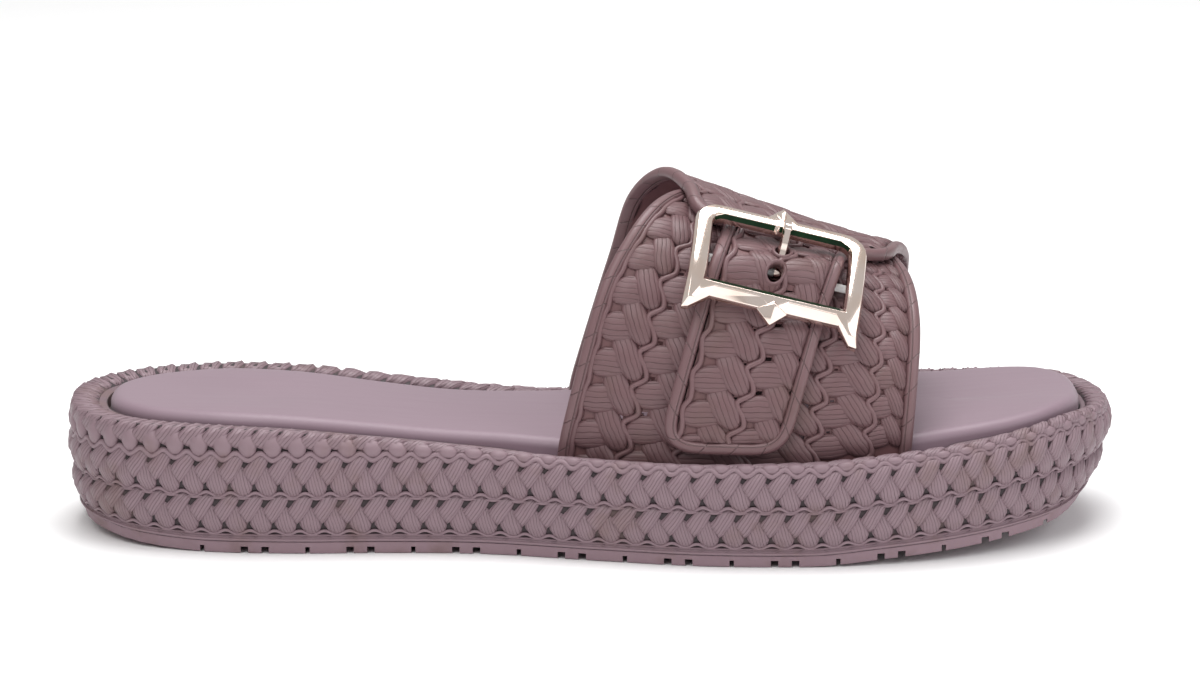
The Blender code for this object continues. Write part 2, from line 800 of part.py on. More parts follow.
def buckle_lift(x, run):
    """The tab's rise over the buckle's centre bar and the prong's loop."""
    across = np.array([x, run]) - tab_centre(BUCKLE_GIRTH)
    away = abs(float(across @ TURNED_UP))
    return TAB_RISE * (1 - smoothstep(away / TAB_RISE_REACH))


LOOP_RADIUS = CENTRE_BAR_RADIUS + CLEARANCE + PRONG_LOOP_WALL
TAB_RISE = 2 * LOOP_RADIUS + CLEARANCE


def tab_centre_x(girth):
    share = girth / TAB_TOP_GIRTH
    along = TAB_END_CENTRE + (TAB_TOP_CENTRE - TAB_END_CENTRE) * share
    return (along - 0.5) * SOLE_LENGTH


def tab_centre(girth):
    x = tab_centre_x(girth)
    return np.array([x, girth * girth_at(x)])


def tab_half():
    """Half the woven width of the tab, measured along x."""
    return TAB_WIDTH / 2 - BORDER_WIDTH


def tab_direction():
    """The tab's direction up the foot at the buckle, on the flat layout."""
    ahead = tab_centre(BUCKLE_GIRTH * 1.05) - tab_centre(BUCKLE_GIRTH * 0.95)
    return ahead / np.linalg.norm(ahead)


def turned(direction, degrees):
    """A flat direction turned towards the heel by this angle."""
    angle = math.radians(degrees)
    across = np.array([direction[1], -direction[0]])
    return direction * math.cos(angle) - across * math.sin(angle)


TAB_UP = tab_direction()
TURNED_UP = turned(TAB_UP, BUCKLE_TURN_DEG)


def shoulder_line(column):
    """Where the wide part ends: on the two shoulders, and on the tab's root between them."""
    half = tab_half()
    middle = tab_centre_x(TAB_TOP_GIRTH)
    root = TAB_TOP_GIRTH + TAB_ROOT
    if column <= 1:
        rear = edge_x(MEDIAL_EDGES, "rear", REAR_SHOULDER_GIRTH) + BORDER_WIDTH
        x = rear + (middle - half - rear) * column
        girth = REAR_SHOULDER_GIRTH + (root - REAR_SHOULDER_GIRTH) * column
    elif column >= MEDIAL_COLUMNS - 1:
        share = column - (MEDIAL_COLUMNS - 1)
        front = edge_x(MEDIAL_EDGES, "front", FRONT_SHOULDER_GIRTH) - BORDER_WIDTH
        x = middle + half + (front - middle - half) * share
        girth = root + (FRONT_SHOULDER_GIRTH - root) * share
    else:
        x = middle + half * (column - MEDIAL_COLUMNS / 2)
        girth = root
    return np.array([x, girth])


def build_medial_strap():
    """The strap from the inner side, with the tab that passes through the buckle."""
    sheet = Sheet()
    root_x = tab_centre_x(TAB_TOP_GIRTH)
    top_girth = 1 - base_clear_girth()
    wide_rows = round((top_girth - TAB_TOP_GIRTH) * girth_at(root_x) / WEAVE_ROW)
    tab_rows = round((TAB_TOP_GIRTH * girth_at(root_x) - TAB_END) / WEAVE_ROW)
    half = tab_half()
    end_girth = (TAB_END + BORDER_WIDTH) / girth_at(tab_centre_x(0.0))

    def corner(column, row):
        if row < tab_rows:
            root = shoulder_line(column)[1]
            girth = end_girth + (root - end_girth) * row / tab_rows
            x = tab_centre_x(girth) + half * (column - MEDIAL_COLUMNS / 2)
            drawn_up = TAB_CORNER if row == 0 and column != MEDIAL_COLUMNS / 2 else 0.0
            return np.array([x, girth * girth_at(x) + drawn_up])
        share = (row - tab_rows) / wide_rows
        start_x, start_girth = shoulder_line(column)
        girth = start_girth + (top_girth - start_girth) * share
        rear = edge_x(MEDIAL_EDGES, "rear", girth) + BORDER_WIDTH
        front = edge_x(MEDIAL_EDGES, "front", girth) - BORDER_WIDTH
        even = rear + (front - rear) * column / MEDIAL_COLUMNS
        blend = smoothstep(share * 2.2)
        x = start_x * (1 - blend) + even * blend
        return np.array([x, girth * girth_at(x)])

    pins = pin_places()
    first = (MEDIAL_COLUMNS - TAB_COLUMNS) // 2
    for row in range(tab_rows):
        for column in range(first, first + TAB_COLUMNS):
            middle = (corner(column, row) + corner(column + 1, row + 1)) / 2
            clear = min(np.linalg.norm(middle - pin) for pin in pins) > WEAVE_ROW
            weave_cell(sheet, column, row, corner, clear)
    for row in range(tab_rows, tab_rows + wide_rows):
        for column in range(MEDIAL_COLUMNS):
            weave_cell(sheet, column, row, corner, True)
    finish_strap(sheet, wide_rows, tab_rows + wide_rows)
    strap = sheet.solid("strap_medial", over_lift)
    cutters = bmesh.new()
    for spot, stretch in zip(pins, (PIN_HOLE_STRETCH, 1.0)):
        drill(cutters, spot, stretch)
    cut_away(strap, "pin_hole_cutters", cutters)
    return strap


def pin_places():
    """Where the tab's pin holes are: the one in use, and a spare below it."""
    centre = tab_centre(BUCKLE_GIRTH)
    return [centre + TAB_UP * up for up in (PRONG_HOLE_UP, PRONG_HOLE_UP - PIN_HOLE_PITCH)]


def drill(bm, spot, stretch):
    """A cylinder through the tab at this place, stretched along the tab."""
    x, run = spot
    axes = buckle_frame_axes()
    point = foot_point(x, run) + foot_normal(x, run) * (over_lift(x, run) + STRAP_THICKNESS / 2)
    verts = bmesh.ops.create_cone(
        bm,
        cap_ends=True,
        segments=12,
        radius1=PIN_HOLE_RADIUS,
        radius2=PIN_HOLE_RADIUS,
        depth=4 * STRAP_THICKNESS,
    )["verts"]
    for vert in verts:
        right, up, out = vert.co
        vert.co = Vector(point + axes.right * right + axes.up * up * stretch + axes.out * out)


# Buckle, in its own axes: right along the bars, up along the tab, out from the strap

BuckleAxes = namedtuple("BuckleAxes", "origin right up out")


def buckle_frame_axes():
    """The buckle's axes. Its origin lies on the under strap's outer face, below the centre bar."""
    centre = tab_centre(BUCKLE_GIRTH)
    reach = BUCKLE_HEIGHT / 2
    above, below = (foot_point(*(centre + TAB_UP * side * reach)) for side in (1, -1))
    up = above - below
    up /= np.linalg.norm(up)
    out = foot_normal(*centre)
    out -= up * float(out @ up)
    out /= np.linalg.norm(out)
    turn = math.radians(BUCKLE_TURN_DEG)
    up = up * math.cos(turn) + np.cross(out, up) * math.sin(turn)
    origin = foot_point(*centre) + out * (STRAP_THICKNESS + WEAVE_RELIEF)
    return BuckleAxes(origin, np.cross(up, out), up, out)


def buckle_point(axes, right, up, out):
    """A point in the buckle's axes, on the bend that follows the foot."""
    bent = out - up * up / (2 * BUCKLE_BEND_RADIUS)
    return Vector(axes.origin + axes.right * right + axes.up * up + axes.out * bent)


def corner_arc(centre, radius, start, turns=4):
    """Points on a quarter circle, going clockwise from this angle in degrees."""
    return [
        (
            centre[0] + radius * math.cos(math.radians(start - 90 * i / turns)),
            centre[1] + radius * math.sin(math.radians(start - 90 * i / turns)),
        )
        for i in range(turns + 1)
    ]


def frame_outline():
    """The frame's outer edge, clockwise from the lower left point, with its two studs."""
    w, h, r = BUCKLE_WIDTH / 2, BUCKLE_HEIGHT / 2, BUCKLE_CORNER
    stud = STUD_WIDTH / 2
    reach = STUD_REACH
    low = -h
    top_stud = [(-stud * 0.8, h), (0.0, h + reach * 0.8), (stud * 0.8, h)]
    low_stud = [(stud, low), (0.0, low - reach), (-stud, low)]
    point = BUCKLE_POINT
    return [
        (-w - 0.1 * point, low - point * 0.8),
        (-w, low + point),
        *corner_arc((-w + r, h - r), r, 180),
        *top_stud,
        *corner_arc((w - r, h - r), r, 90),
        (w, low + point),
        (w + 0.1 * point, low - point),
        (w - point, low),
        *low_stud,
        (-w + point, low),
    ]


def window_outline():
    """The frame's inner edge, clockwise from the lower left corner."""
    w, h = BUCKLE_WIDTH / 2 - BUCKLE_BAR, BUCKLE_HEIGHT / 2 - BUCKLE_BAR
    r = BUCKLE_CORNER * 0.45
    return [(-w, -h), (-w, 0.0), *corner_arc((-w + r, h - r), r, 180, 3), (0.0, h),
            *corner_arc((w - r, h - r), r, 90, 3), (w, 0.0), (w, -h), (0.0, -h)]


def drawn_in(outline, distance):
    """A clockwise outline moved inward by this distance."""
    count = len(outline)
    moved = []
    for i, (x, y) in enumerate(outline):
        before, after = Vector(outline[i - 1]), Vector(outline[(i + 1) % count])
        here = Vector((x, y))
        first, second = (here - before).normalized(), (after - here).normalized()
        normals = [Vector((d.y, -d.x)) for d in (first, second)]
        mean = (normals[0] + normals[1]).normalized()
        moved.append(here + mean * distance / max(0.45, mean.dot(normals[0])))
    return [(p.x, p.y) for p in moved]


def buckle_underside():
    """How far the side bars' underside is out from the under strap, at the centre bar."""
    return 2 * LOOP_RADIUS + 4 * CLEARANCE


def build_buckle_frame(axes):
    """The cast frame: chamfered bars round a window, and the centre bar that the tab passes over."""
    bm = bmesh.new()
    low = buckle_underside()
    high = low + BUCKLE_THICKNESS
    shoulder = high - BUCKLE_CHAMFER
    outer, window = frame_outline(), window_outline()
    loops = []
    for outline, chamfer in ((outer, BUCKLE_CHAMFER), (window, -BUCKLE_CHAMFER * 0.7)):
        levels = ((outline, low), (outline, shoulder), (drawn_in(outline, chamfer), high))
        loops.append([[bm.verts.new((x, y, z)) for x, y in line] for line, z in levels])
    for rows, outward in zip(loops, (True, False)):
        for lower, upper in zip(rows, rows[1:]):
            for i in range(len(lower)):
                j = (i + 1) % len(lower)
                quad = (lower[j], lower[i], upper[i], upper[j])
                bm.faces.new(quad if outward else quad[::-1])
    for level in (0, 2):
        rings = [edge for rows in loops for edge in edges_of(bm, rows[level])]
        bmesh.ops.triangle_fill(bm, edges=rings, use_beauty=True)
    bmesh.ops.recalc_face_normals(bm, faces=bm.faces)
    place_in_axes(bm, axes)
    return make_object("buckle_frame", bm, GOLD)


def edges_of(bm, loop):
    return [bm.edges.get((loop[i], loop[(i + 1) % len(loop)])) for i in range(len(loop))]


def centre_bar(axes):
    """The bar between the side bars, with a lug at each end that reaches up into the frame."""
    bm = bmesh.new()
    lug_x = BUCKLE_WIDTH / 2 - BUCKLE_BAR * 0.4
    centre = LOOP_RADIUS
    verts = bmesh.ops.create_cone(
        bm,
        cap_ends=True,
        segments=10,
        radius1=CENTRE_BAR_RADIUS,
        radius2=CENTRE_BAR_RADIUS,
        depth=2 * lug_x,
    )["verts"]
    turn = Vector((0, 0, 1)).rotation_difference(Vector((1, 0, 0))).to_matrix()
    bmesh.ops.rotate(bm, cent=(0, 0, 0), matrix=turn, verts=verts)
    bmesh.ops.translate(bm, vec=(0, 0, centre), verts=verts)
    place_in_axes(bm, axes)
    return bm, lug_x, centre


def lug(axes, x, centre):
    """A block that joins the centre bar's end to the side bar's underside."""
    bm = bmesh.new()
    verts = bmesh.ops.create_cube(bm, size=1.0)["verts"]
    top = buckle_underside() + BUCKLE_THICKNESS / 2
    bottom = centre - CENTRE_BAR_RADIUS * 1.15
    bmesh.ops.scale(bm, vec=(LUG_WIDTH, LUG_LENGTH, top - bottom), verts=verts)
    bmesh.ops.translate(bm, vec=(x, 0, (top + bottom) / 2), verts=verts)
    place_in_axes(bm, axes)
    return bm


def place_in_axes(bm, axes):
    for vert in bm.verts:
        vert.co = buckle_point(axes, *vert.co)


def join_on(target, name, bm):
    """A Boolean union with a helper shape."""
    bmesh.ops.recalc_face_normals(bm, faces=bm.faces)
    mesh = bpy.data.meshes.new(name)
    bm.to_mesh(mesh)
    bm.free()
    helper = bpy.data.objects.new(name, mesh)
    bpy.context.scene.collection.objects.link(helper)
    helper.hide_render = True
    helper.display_type = "WIRE"
    modifier = target.modifiers.new(name, "BOOLEAN")
    modifier.operation = "UNION"
    modifier.object = helper


def build_prong(axes):
    """The prong: a loop round the centre bar, and a tongue up through the tab to the top bar."""
    bm = bmesh.new()
    gap = CENTRE_BAR_RADIUS + CLEARANCE
    wall = PRONG_LOOP_WALL
    centre = LOOP_RADIUS
    top_bar = buckle_underside() + BUCKLE_THICKNESS
    rest_up = BUCKLE_HEIGHT / 2 - BUCKLE_BAR / 2
    path = []
    for degrees in range(-200, 61, 26):
        angle = math.radians(degrees)
        path.append(((gap + wall) * math.sin(angle), centre + (gap + wall) * -math.cos(angle),
                     gap * math.sin(angle), centre - gap * math.cos(angle)))
    half = PRONG_THICKNESS / 2
    rest_out = top_bar + CLEARANCE + half
    line = [
        (PRONG_HOLE_UP - PIN_HOLE_RADIUS / 2, 2 * LOOP_RADIUS + PRONG_START),
        (PRONG_HOLE_UP + PIN_HOLE_RADIUS / 2, 2 * LOOP_RADIUS + PRONG_RISE),
        (PRONG_HOLE_UP + 1.5 * PIN_HOLE_RADIUS, rest_out + PRONG_SHOULDER),
        (rest_up - BUCKLE_BAR / 2, rest_out + PRONG_CROWN),
        (rest_up, rest_out),
        (rest_up + PRONG_TIP, rest_out),
    ]
    ribbon = []
    for up, out, up_in, out_in in path:
        ribbon.append(((up, out), (up_in, out_in)))
    for i, (up, out) in enumerate(line):
        ahead = Vector(line[min(i + 1, len(line) - 1)]) - Vector(line[max(i - 1, 0)])
        ahead.normalize()
        side = Vector((ahead.y, -ahead.x)) * half
        ribbon.append(((up + side.x, out + side.y), (up - side.x, out - side.y)))
    rows = []
    for (up, out), (up_in, out_in) in ribbon:
        w = PRONG_WIDTH / 2
        rows.append([bm.verts.new(c) for c in ((-w, up, out), (w, up, out), (w, up_in, out_in), (-w, up_in, out_in))])
    for before, after in zip(rows, rows[1:]):
        for i in range(4):
            j = (i + 1) % 4
            bm.faces.new((before[i], before[j], after[j], after[i]))
    bm.faces.new(rows[0][::-1])
    bm.faces.new(rows[-1])
    for vert in bm.verts:
        x, up, out = vert.co
        rests = up * up / (2 * BUCKLE_BEND_RADIUS) * (1 if up > PRONG_HOLE_UP else 0)
        vert.co = Vector(axes.origin + axes.right * (x + PRONG_OFFSET) + axes.up * up + axes.out * (out - rests))
    return make_object("buckle_prong", bm, GOLD)


def main():
    clear_scene()
    build_outsole()
    build_midsole()
    build_insole()
    build_lateral_strap()
    build_medial_strap()
    axes = buckle_frame_axes()
    frame = build_buckle_frame(axes)
    bar, lug_x, centre = centre_bar(axes)
    join_on(frame, "centre_bar_helper", bar)
    for side, name in ((-1, "rear"), (1, "front")):
        join_on(frame, f"{name}_lug_helper", lug(axes, side * lug_x, centre))
    build_prong(axes)


main()
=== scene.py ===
"""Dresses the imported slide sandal: plaited sole, padded sock, woven straps and a polished buckle.

X runs from heel to toe, Y from the outer side to the inner side, and Z is up, in metres.
"""

import math
from collections import namedtuple

import bpy
import numpy as np
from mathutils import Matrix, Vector


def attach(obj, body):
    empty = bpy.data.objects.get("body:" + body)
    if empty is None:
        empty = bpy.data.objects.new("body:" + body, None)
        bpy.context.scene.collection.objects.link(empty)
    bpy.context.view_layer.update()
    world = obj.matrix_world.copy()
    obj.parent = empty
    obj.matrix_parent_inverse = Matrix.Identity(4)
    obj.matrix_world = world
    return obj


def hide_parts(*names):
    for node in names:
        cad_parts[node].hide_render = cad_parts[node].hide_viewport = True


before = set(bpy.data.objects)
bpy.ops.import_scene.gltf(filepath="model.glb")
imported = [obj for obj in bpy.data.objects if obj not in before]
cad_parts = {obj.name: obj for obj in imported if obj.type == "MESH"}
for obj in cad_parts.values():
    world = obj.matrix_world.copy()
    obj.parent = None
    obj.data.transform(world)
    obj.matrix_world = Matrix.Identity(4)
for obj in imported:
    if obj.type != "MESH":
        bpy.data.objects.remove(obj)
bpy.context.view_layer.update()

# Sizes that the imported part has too
SOLE_LENGTH = 0.2670
SOLE_WIDTH = 0.097
HEEL_STACK = 0.0322
SIDE_HEIGHT = 0.0252
TOE_SPRING = 0.010
TOE_TUCK = 0.0068
OUTSOLE_THICKNESS = 0.0030
BAND_TOP = 0.0050
BAND_INSET = 0.0012
SEAM_HEIGHT = 0.0147
PLAIT_PITCH = 0.0063
RIM_WIDTH = 0.0082
RECESS_DEPTH = 0.0042
INSOLE_THICKNESS = 0.0048
INSOLE_HEEL_GAP = 0.0023
INSOLE_TOE_GAP = 0.0005
STRAP_THICKNESS = 0.0021
WEAVE_RELIEF = 0.0009
STRAP_ROOM = 0.0043
BORDER_WIDTH = 0.0030
WEAVE_ROW = 0.0082
INSTEP_HEIGHT = 0.0598
VAMP_HEIGHT = 0.0358
INSTEP_ALONG = 0.561
VAMP_ALONG = 0.802
CREST_OFFSET = 0.004
ARCH_ROUNDNESS = 2.4
DRAPE_START = 0.0088
DRAPE_LENGTH = 0.016
STRAP_MIDDLE_ALONG = 0.66
TAB_WIDTH = 0.0312
TAB_END = 0.0022
TAB_RISE_REACH = 0.0096
PIN_HOLE_RADIUS = 0.0019
PRONG_HOLE_UP = 0.0038
PIN_HOLE_PITCH = 0.0060
BUCKLE_WIDTH = 0.0443
BUCKLE_HEIGHT = 0.0282
BUCKLE_BAR = 0.0045
BUCKLE_THICKNESS = 0.0030
BUCKLE_CORNER = 0.0060
BUCKLE_BEND_RADIUS = 0.055
BUCKLE_TURN_DEG = 10.0
CENTRE_BAR_RADIUS = 0.0010
PRONG_WIDTH = 0.0023
PRONG_THICKNESS = 0.0015
PRONG_LOOP_WALL = 0.0007
PRONG_OFFSET = 0.0009
CLEARANCE = 0.0003

Plan = namedtuple("Plan", "along outer inner")
HEEL_TIP = 0.00
TOE_TIP = 0.07
PLAN = [
    Plan(0.012, 0.160, 0.150),
    Plan(0.055, 0.286, 0.275),
    Plan(0.130, 0.356, 0.348),
    Plan(0.220, 0.376, 0.356),
    Plan(0.310, 0.370, 0.342),
    Plan(0.400, 0.380, 0.340),
    Plan(0.500, 0.438, 0.388),
    Plan(0.600, 0.490, 0.456),
    Plan(0.680, 0.500, 0.490),
    Plan(0.760, 0.488, 0.500),
    Plan(0.840, 0.438, 0.482),
    Plan(0.910, 0.352, 0.430),
    Plan(0.962, 0.236, 0.338),
    Plan(0.992, 0.100, 0.222),
]
Profile = namedtuple("Profile", "along floor side crest tuck")
PROFILE = [
    Profile(0.00, 0.34, 0.850, 0.915, 0.32),
    Profile(0.03, 0.22, 0.905, 0.950, 0.28),
    Profile(0.08, 0.08, 0.968, 0.992, 0.20),
    Profile(0.14, 0.00, 1.000, 1.018, 0.16),
    Profile(0.20, 0.00, 1.000, 1.002, 0.14),
    Profile(0.30, 0.00, 1.000, 0.922, 0.14),
    Profile(0.40, 0.00, 0.988, 0.836, 0.14),
    Profile(0.47, 0.00, 0.976, 0.795, 0.14),
    Profile(0.60, 0.00, 0.968, 0.783, 0.14),
    Profile(0.70, 0.00, 0.968, 0.786, 0.14),
    Profile(0.77, 0.14, 0.968, 0.780, 0.16),
    Profile(0.84, 0.27, 0.968, 0.783, 0.20),
    Profile(0.90, 0.40, 0.968, 0.795, 0.32),
    Profile(0.95, 0.53, 0.955, 0.808, 0.50),
    Profile(1.00, 0.86, 0.820, 0.700, 0.86),
]
Edge = namedtuple("Edge", "girth rear front")
LATERAL_EDGES = [
    Edge(0.00, 0.4696, 0.7975),
    Edge(0.13, 0.4878, 0.8025),
    Edge(0.26, 0.5080, 0.8068),
    Edge(0.375, 0.5390, 0.8040),
    Edge(0.47, 0.5670, 0.7980),
    Edge(0.60, 0.6020, 0.7860),
]
MEDIAL_EDGES = [
    Edge(0.40, 0.5960, 0.7540),
    Edge(0.52, 0.5600, 0.7990),
    Edge(0.60, 0.5455, 0.8040),
    Edge(0.74, 0.5225, 0.8060),
    Edge(0.87, 0.5005, 0.8020),
    Edge(1.00, 0.4780, 0.7890),
]
REAR_SHOULDER_GIRTH = 0.430
FRONT_SHOULDER_GIRTH = 0.470
TAB_TOP_GIRTH = 0.410
TAB_ROOT = 0.02
TAB_TOP_CENTRE = 0.6788
TAB_END_CENTRE = 0.6205
BUCKLE_GIRTH = 0.3247

# Finer sizes of the visible pieces
PLAIT_VALLEY = 0.0017
PLAIT_BULGE = 0.0008
SEAM_PINCH = 0.0005
LEDGE_WIDTH = 0.0026
LEDGE_DROP = 0.0012
SHEET_THICKNESS = 0.0012
LEAF_BASE = 0.0008
COLUMN_PHASE = 0.218
SUNK_ROWS = 0.5
PLAIT_ROW_PHASE = 0.25
ROLL_SINK = 0.0006
INNER_ROLL_LOWER = 0.0012
OUTER_ROLL_HIGHER = 0.0010
INNER_CAPS_SUNK = 0.0004
TOE_BEADS_SUNK = 0.0007
TOE_CORD_SUNK = 0.0006
MIDDLE_SOCK_HIGHER = 0.0014
OUTER_SOCK_HIGHER = 0.0008
HEEL_HOLLOW = 0.0009
PRONG_STEP = 0.0005
WEAVE_STEPS = 14
PIN_ROOM = 0.0036
DASH_HEIGHT = 0.00428
CORD_RISE = 0.0017
CORD_RADIUS = 0.00078
PATH_STEP = 0.0009
MILLIMETRE = 0.001


# Forms


class Grid:
    """Values at even steps in two directions, read between the steps."""

    def __init__(self, first, second, values, closed=False):
        self.first, self.second, self.closed = first, second, closed
        self.values = np.asarray(values, float)

    def at(self, a, b):
        a, b = np.broadcast_arrays(np.asarray(a, float), np.asarray(b, float))
        rows, columns = len(self.first), len(self.second)
        i = (a - self.first[0]) / (self.first[1] - self.first[0])
        j = np.clip((b - self.second[0]) / (self.second[1] - self.second[0]), 0, columns - 1.000001)
        i = np.mod(i, rows - 1) if self.closed else np.clip(i, 0, rows - 1.000001)
        low_i, low_j = np.floor(i).astype(int), np.floor(j).astype(int)
        low_i = np.minimum(low_i, rows - 2)
        u, v = (i - low_i)[..., None], (j - low_j)[..., None]
        at = self.values
        return (
            at[low_i, low_j] * (1 - u) * (1 - v)
            + at[low_i + 1, low_j] * u * (1 - v)
            + at[low_i, low_j + 1] * (1 - u) * v
            + at[low_i + 1, low_j + 1] * u * v
        )


class Form:
    """A curved surface that pieces are laid on: places by two directions, and how far out they stand."""

    def __init__(self, first, second, places, closed=False):
        places = np.asarray(places, float)
        if closed:
            ahead = np.roll(places[:-1], -1, axis=0) - np.roll(places[:-1], 1, axis=0)
            ahead = np.concatenate([ahead, ahead[:1]])
        else:
            ahead = np.gradient(places, axis=0)
        normals = np.cross(ahead, np.gradient(places, axis=1))
        normals /= np.maximum(np.linalg.norm(normals, axis=2, keepdims=True), 1e-12)
        self.places = Grid(first, second, places, closed)
        self.normals = Grid(first, second, normals, closed)

    def at(self, a, b, out=0.0):
        normal = self.normals.at(a, b)
        normal = normal / np.maximum(np.linalg.norm(normal, axis=-1, keepdims=True), 1e-12)
        return self.places.at(a, b) + normal * np.asarray(out, float)[..., None]


def smooth(rows, column, at):
    """The column's value at this place in the table, on a curve that never overshoots its rows."""
    xs = [row[0] for row in rows]
    ys = [getattr(row, column) for row in rows]
    at = min(max(at, xs[0]), xs[-1])
    slopes = [(ys[i + 1] - ys[i]) / (xs[i + 1] - xs[i]) for i in range(len(xs) - 1)]
    tangents = [slopes[0]]
    for before, after in zip(slopes, slopes[1:]):
        same_way = before * after > 0
        tangents.append(2 * before * after / (before + after) if same_way else 0.0)
    tangents.append(slopes[-1])
    i = min(int(np.searchsorted(xs, at, side="right")) - 1, len(xs) - 2)
    h = xs[i + 1] - xs[i]
    t = (at - xs[i]) / h
    return (
        ys[i] * (2 * t**3 - 3 * t**2 + 1)
        + tangents[i] * h * (t**3 - 2 * t**2 + t)
        + ys[i + 1] * (3 * t**2 - 2 * t**3)
        + tangents[i + 1] * h * (t**3 - t**2)
    )


def smoothstep(t):
    t = np.clip(t, 0.0, 1.0)
    return t * t * (3 - 2 * t)


def lerp(low, high, start, end, at):
    share = (at - start) / (end - start)
    return low * (1 - share) + high * share


def unit(rows):
    """Each row's direction, one long."""
    return rows / np.linalg.norm(rows, axis=1)[:, None]


def headings(line):
    return unit(np.gradient(line, axis=0))


def running_length(line):
    return np.concatenate([[0.0], np.cumsum(np.linalg.norm(np.diff(line, axis=0), axis=1))])


def nearest(share, count):
    """The number of the nearest of so many steps."""
    return np.rint(share * count).astype(int)


def plan_curve(steps=24):
    """A dense closed curve through the plan's points, as an array of x and y."""
    outer = [(row.along, -row.outer) for row in PLAN]
    inner = [(row.along, row.inner) for row in reversed(PLAN)]
    corners = np.array([(0.0, HEEL_TIP), *outer, (1.0, TOE_TIP), *inner])
    points = (corners - [0.5, 0.0]) * np.array([SOLE_LENGTH, SOLE_WIDTH])
    count = len(points)
    curve = []
    for i in range(count):
        before, start, end, after = (points[(i + k) % count] for k in (-1, 0, 1, 2))
        knots = [0.0]
        for a, b in ((before, start), (start, end), (end, after)):
            knots.append(knots[-1] + math.sqrt(np.linalg.norm(b - a)))
        for t in np.linspace(knots[1], knots[2], steps, endpoint=False):
            a1 = lerp(before, start, knots[0], knots[1], t)
            a2 = lerp(start, end, knots[1], knots[2], t)
            a3 = lerp(end, after, knots[2], knots[3], t)
            b1 = lerp(a1, a2, knots[0], knots[2], t)
            b2 = lerp(a2, a3, knots[1], knots[3], t)
            curve.append(lerp(b1, b2, knots[1], knots[2], t))
    return np.array(curve)


def measure_plan():
    """The plan's curve closed on itself, with its inward directions and its running length."""
    curve = plan_curve()
    ahead = unit(np.roll(curve, -1, axis=0) - np.roll(curve, 1, axis=0))
    inward = np.stack([-ahead[:, 1], ahead[:, 0]], axis=1)
    closed = np.vstack([curve, curve[:1]])
    inward = np.vstack([inward, inward[:1]])
    return closed, inward, running_length(closed)


CURVE, INWARD, RUN = measure_plan()
PERIMETER = RUN[-1]
PLAIT_CELLS = 2 * round(PERIMETER / PLAIT_PITCH / 2)
ALONGS = np.linspace(0, 1, 401)
PROFILE_SIZE = {"floor": TOE_SPRING, "side": SIDE_HEIGHT, "crest": HEEL_STACK, "tuck": TOE_TUCK}
PROFILES = {
    column: np.array([smooth(PROFILE, column, a) for a in ALONGS]) * size
    for column, size in PROFILE_SIZE.items()
}


def profile(column, along):
    return np.interp(along, ALONGS, PROFILES[column])


def rim(share, inset):
    """x and y on the sole's outline drawn in by the inset, at this share of the way round."""
    at = np.mod(share, 1.0) * PERIMETER
    x, y = (np.interp(at, RUN, CURVE[:, k]) for k in (0, 1))
    nx, ny = (np.interp(at, RUN, INWARD[:, k]) for k in (0, 1))
    length = np.hypot(nx, ny)
    return x + nx / length * inset, y + ny / length * inset


def along_at(share):
    return np.interp(np.mod(share, 1.0) * PERIMETER, RUN, CURVE[:, 0]) / SOLE_LENGTH + 0.5


def side_share(along):
    return profile("side", along) / SIDE_HEIGHT


def tuck(along, height):
    share = np.maximum(0.0, 1 - height / profile("side", along))
    return profile("tuck", along) * share**1.4


def crest_level(along):
    return profile("floor", along) + profile("crest", along)


def inner_forefoot(share):
    """1 on the inner side from the arch on, where the roll is lower, and 0 elsewhere."""
    y = rim(share, 0.0)[1]
    return smoothstep((along_at(share) - 0.36) / 0.12) * smoothstep((y + 0.02) / 0.04)


def outer_forefoot(share):
    """1 on the outer side of the forefoot, where the roll and the sock are higher, and 0 elsewhere."""
    y = rim(share, 0.0)[1]
    return smoothstep((along_at(share) - 0.56) / 0.20) * (1 - smoothstep((y + 0.03) / 0.04))


def toe_share(along):
    """0 up to the ball of the foot, and 1 from there to the toe."""
    return smoothstep((along - 0.70) / 0.12)


def heel_share(along):
    """1 at the heel's end, and 0 from a little ahead of it."""
    return 1 - smoothstep((along - 0.06) / 0.12)


def roll_level(share):
    """The rolled plait's base: lower on the inner side of the forefoot, and higher on the outer side."""
    level = crest_level(along_at(share)) - ROLL_SINK
    return level - INNER_ROLL_LOWER * inner_forefoot(share) + OUTER_ROLL_HIGHER * outer_forefoot(share)


def recess_level(along):
    return crest_level(along) - RECESS_DEPTH


def open_room(along):
    """1 where the straps go down beside the sock, and 0 where the ledge is."""
    return smoothstep((along - 0.42) / 0.03) * (1 - smoothstep((along - 0.82) / 0.04))


def insole_inset(along):
    early = smoothstep((along - 0.10) / 0.30)
    late = smoothstep((along - 0.84) / 0.12)
    rear = INSOLE_HEEL_GAP * (1 - early) + STRAP_ROOM * early
    front = STRAP_ROOM * (1 - late) + INSOLE_TOE_GAP * late
    return RIM_WIDTH + np.where(along < 0.40, rear, front)


def roll_inset(along):
    rise = profile("crest", along) - profile("side", along)
    share = np.minimum(1.0, rise / (HEEL_STACK - SIDE_HEIGHT))
    return RIM_WIDTH * (0.48 - 0.22 * share)


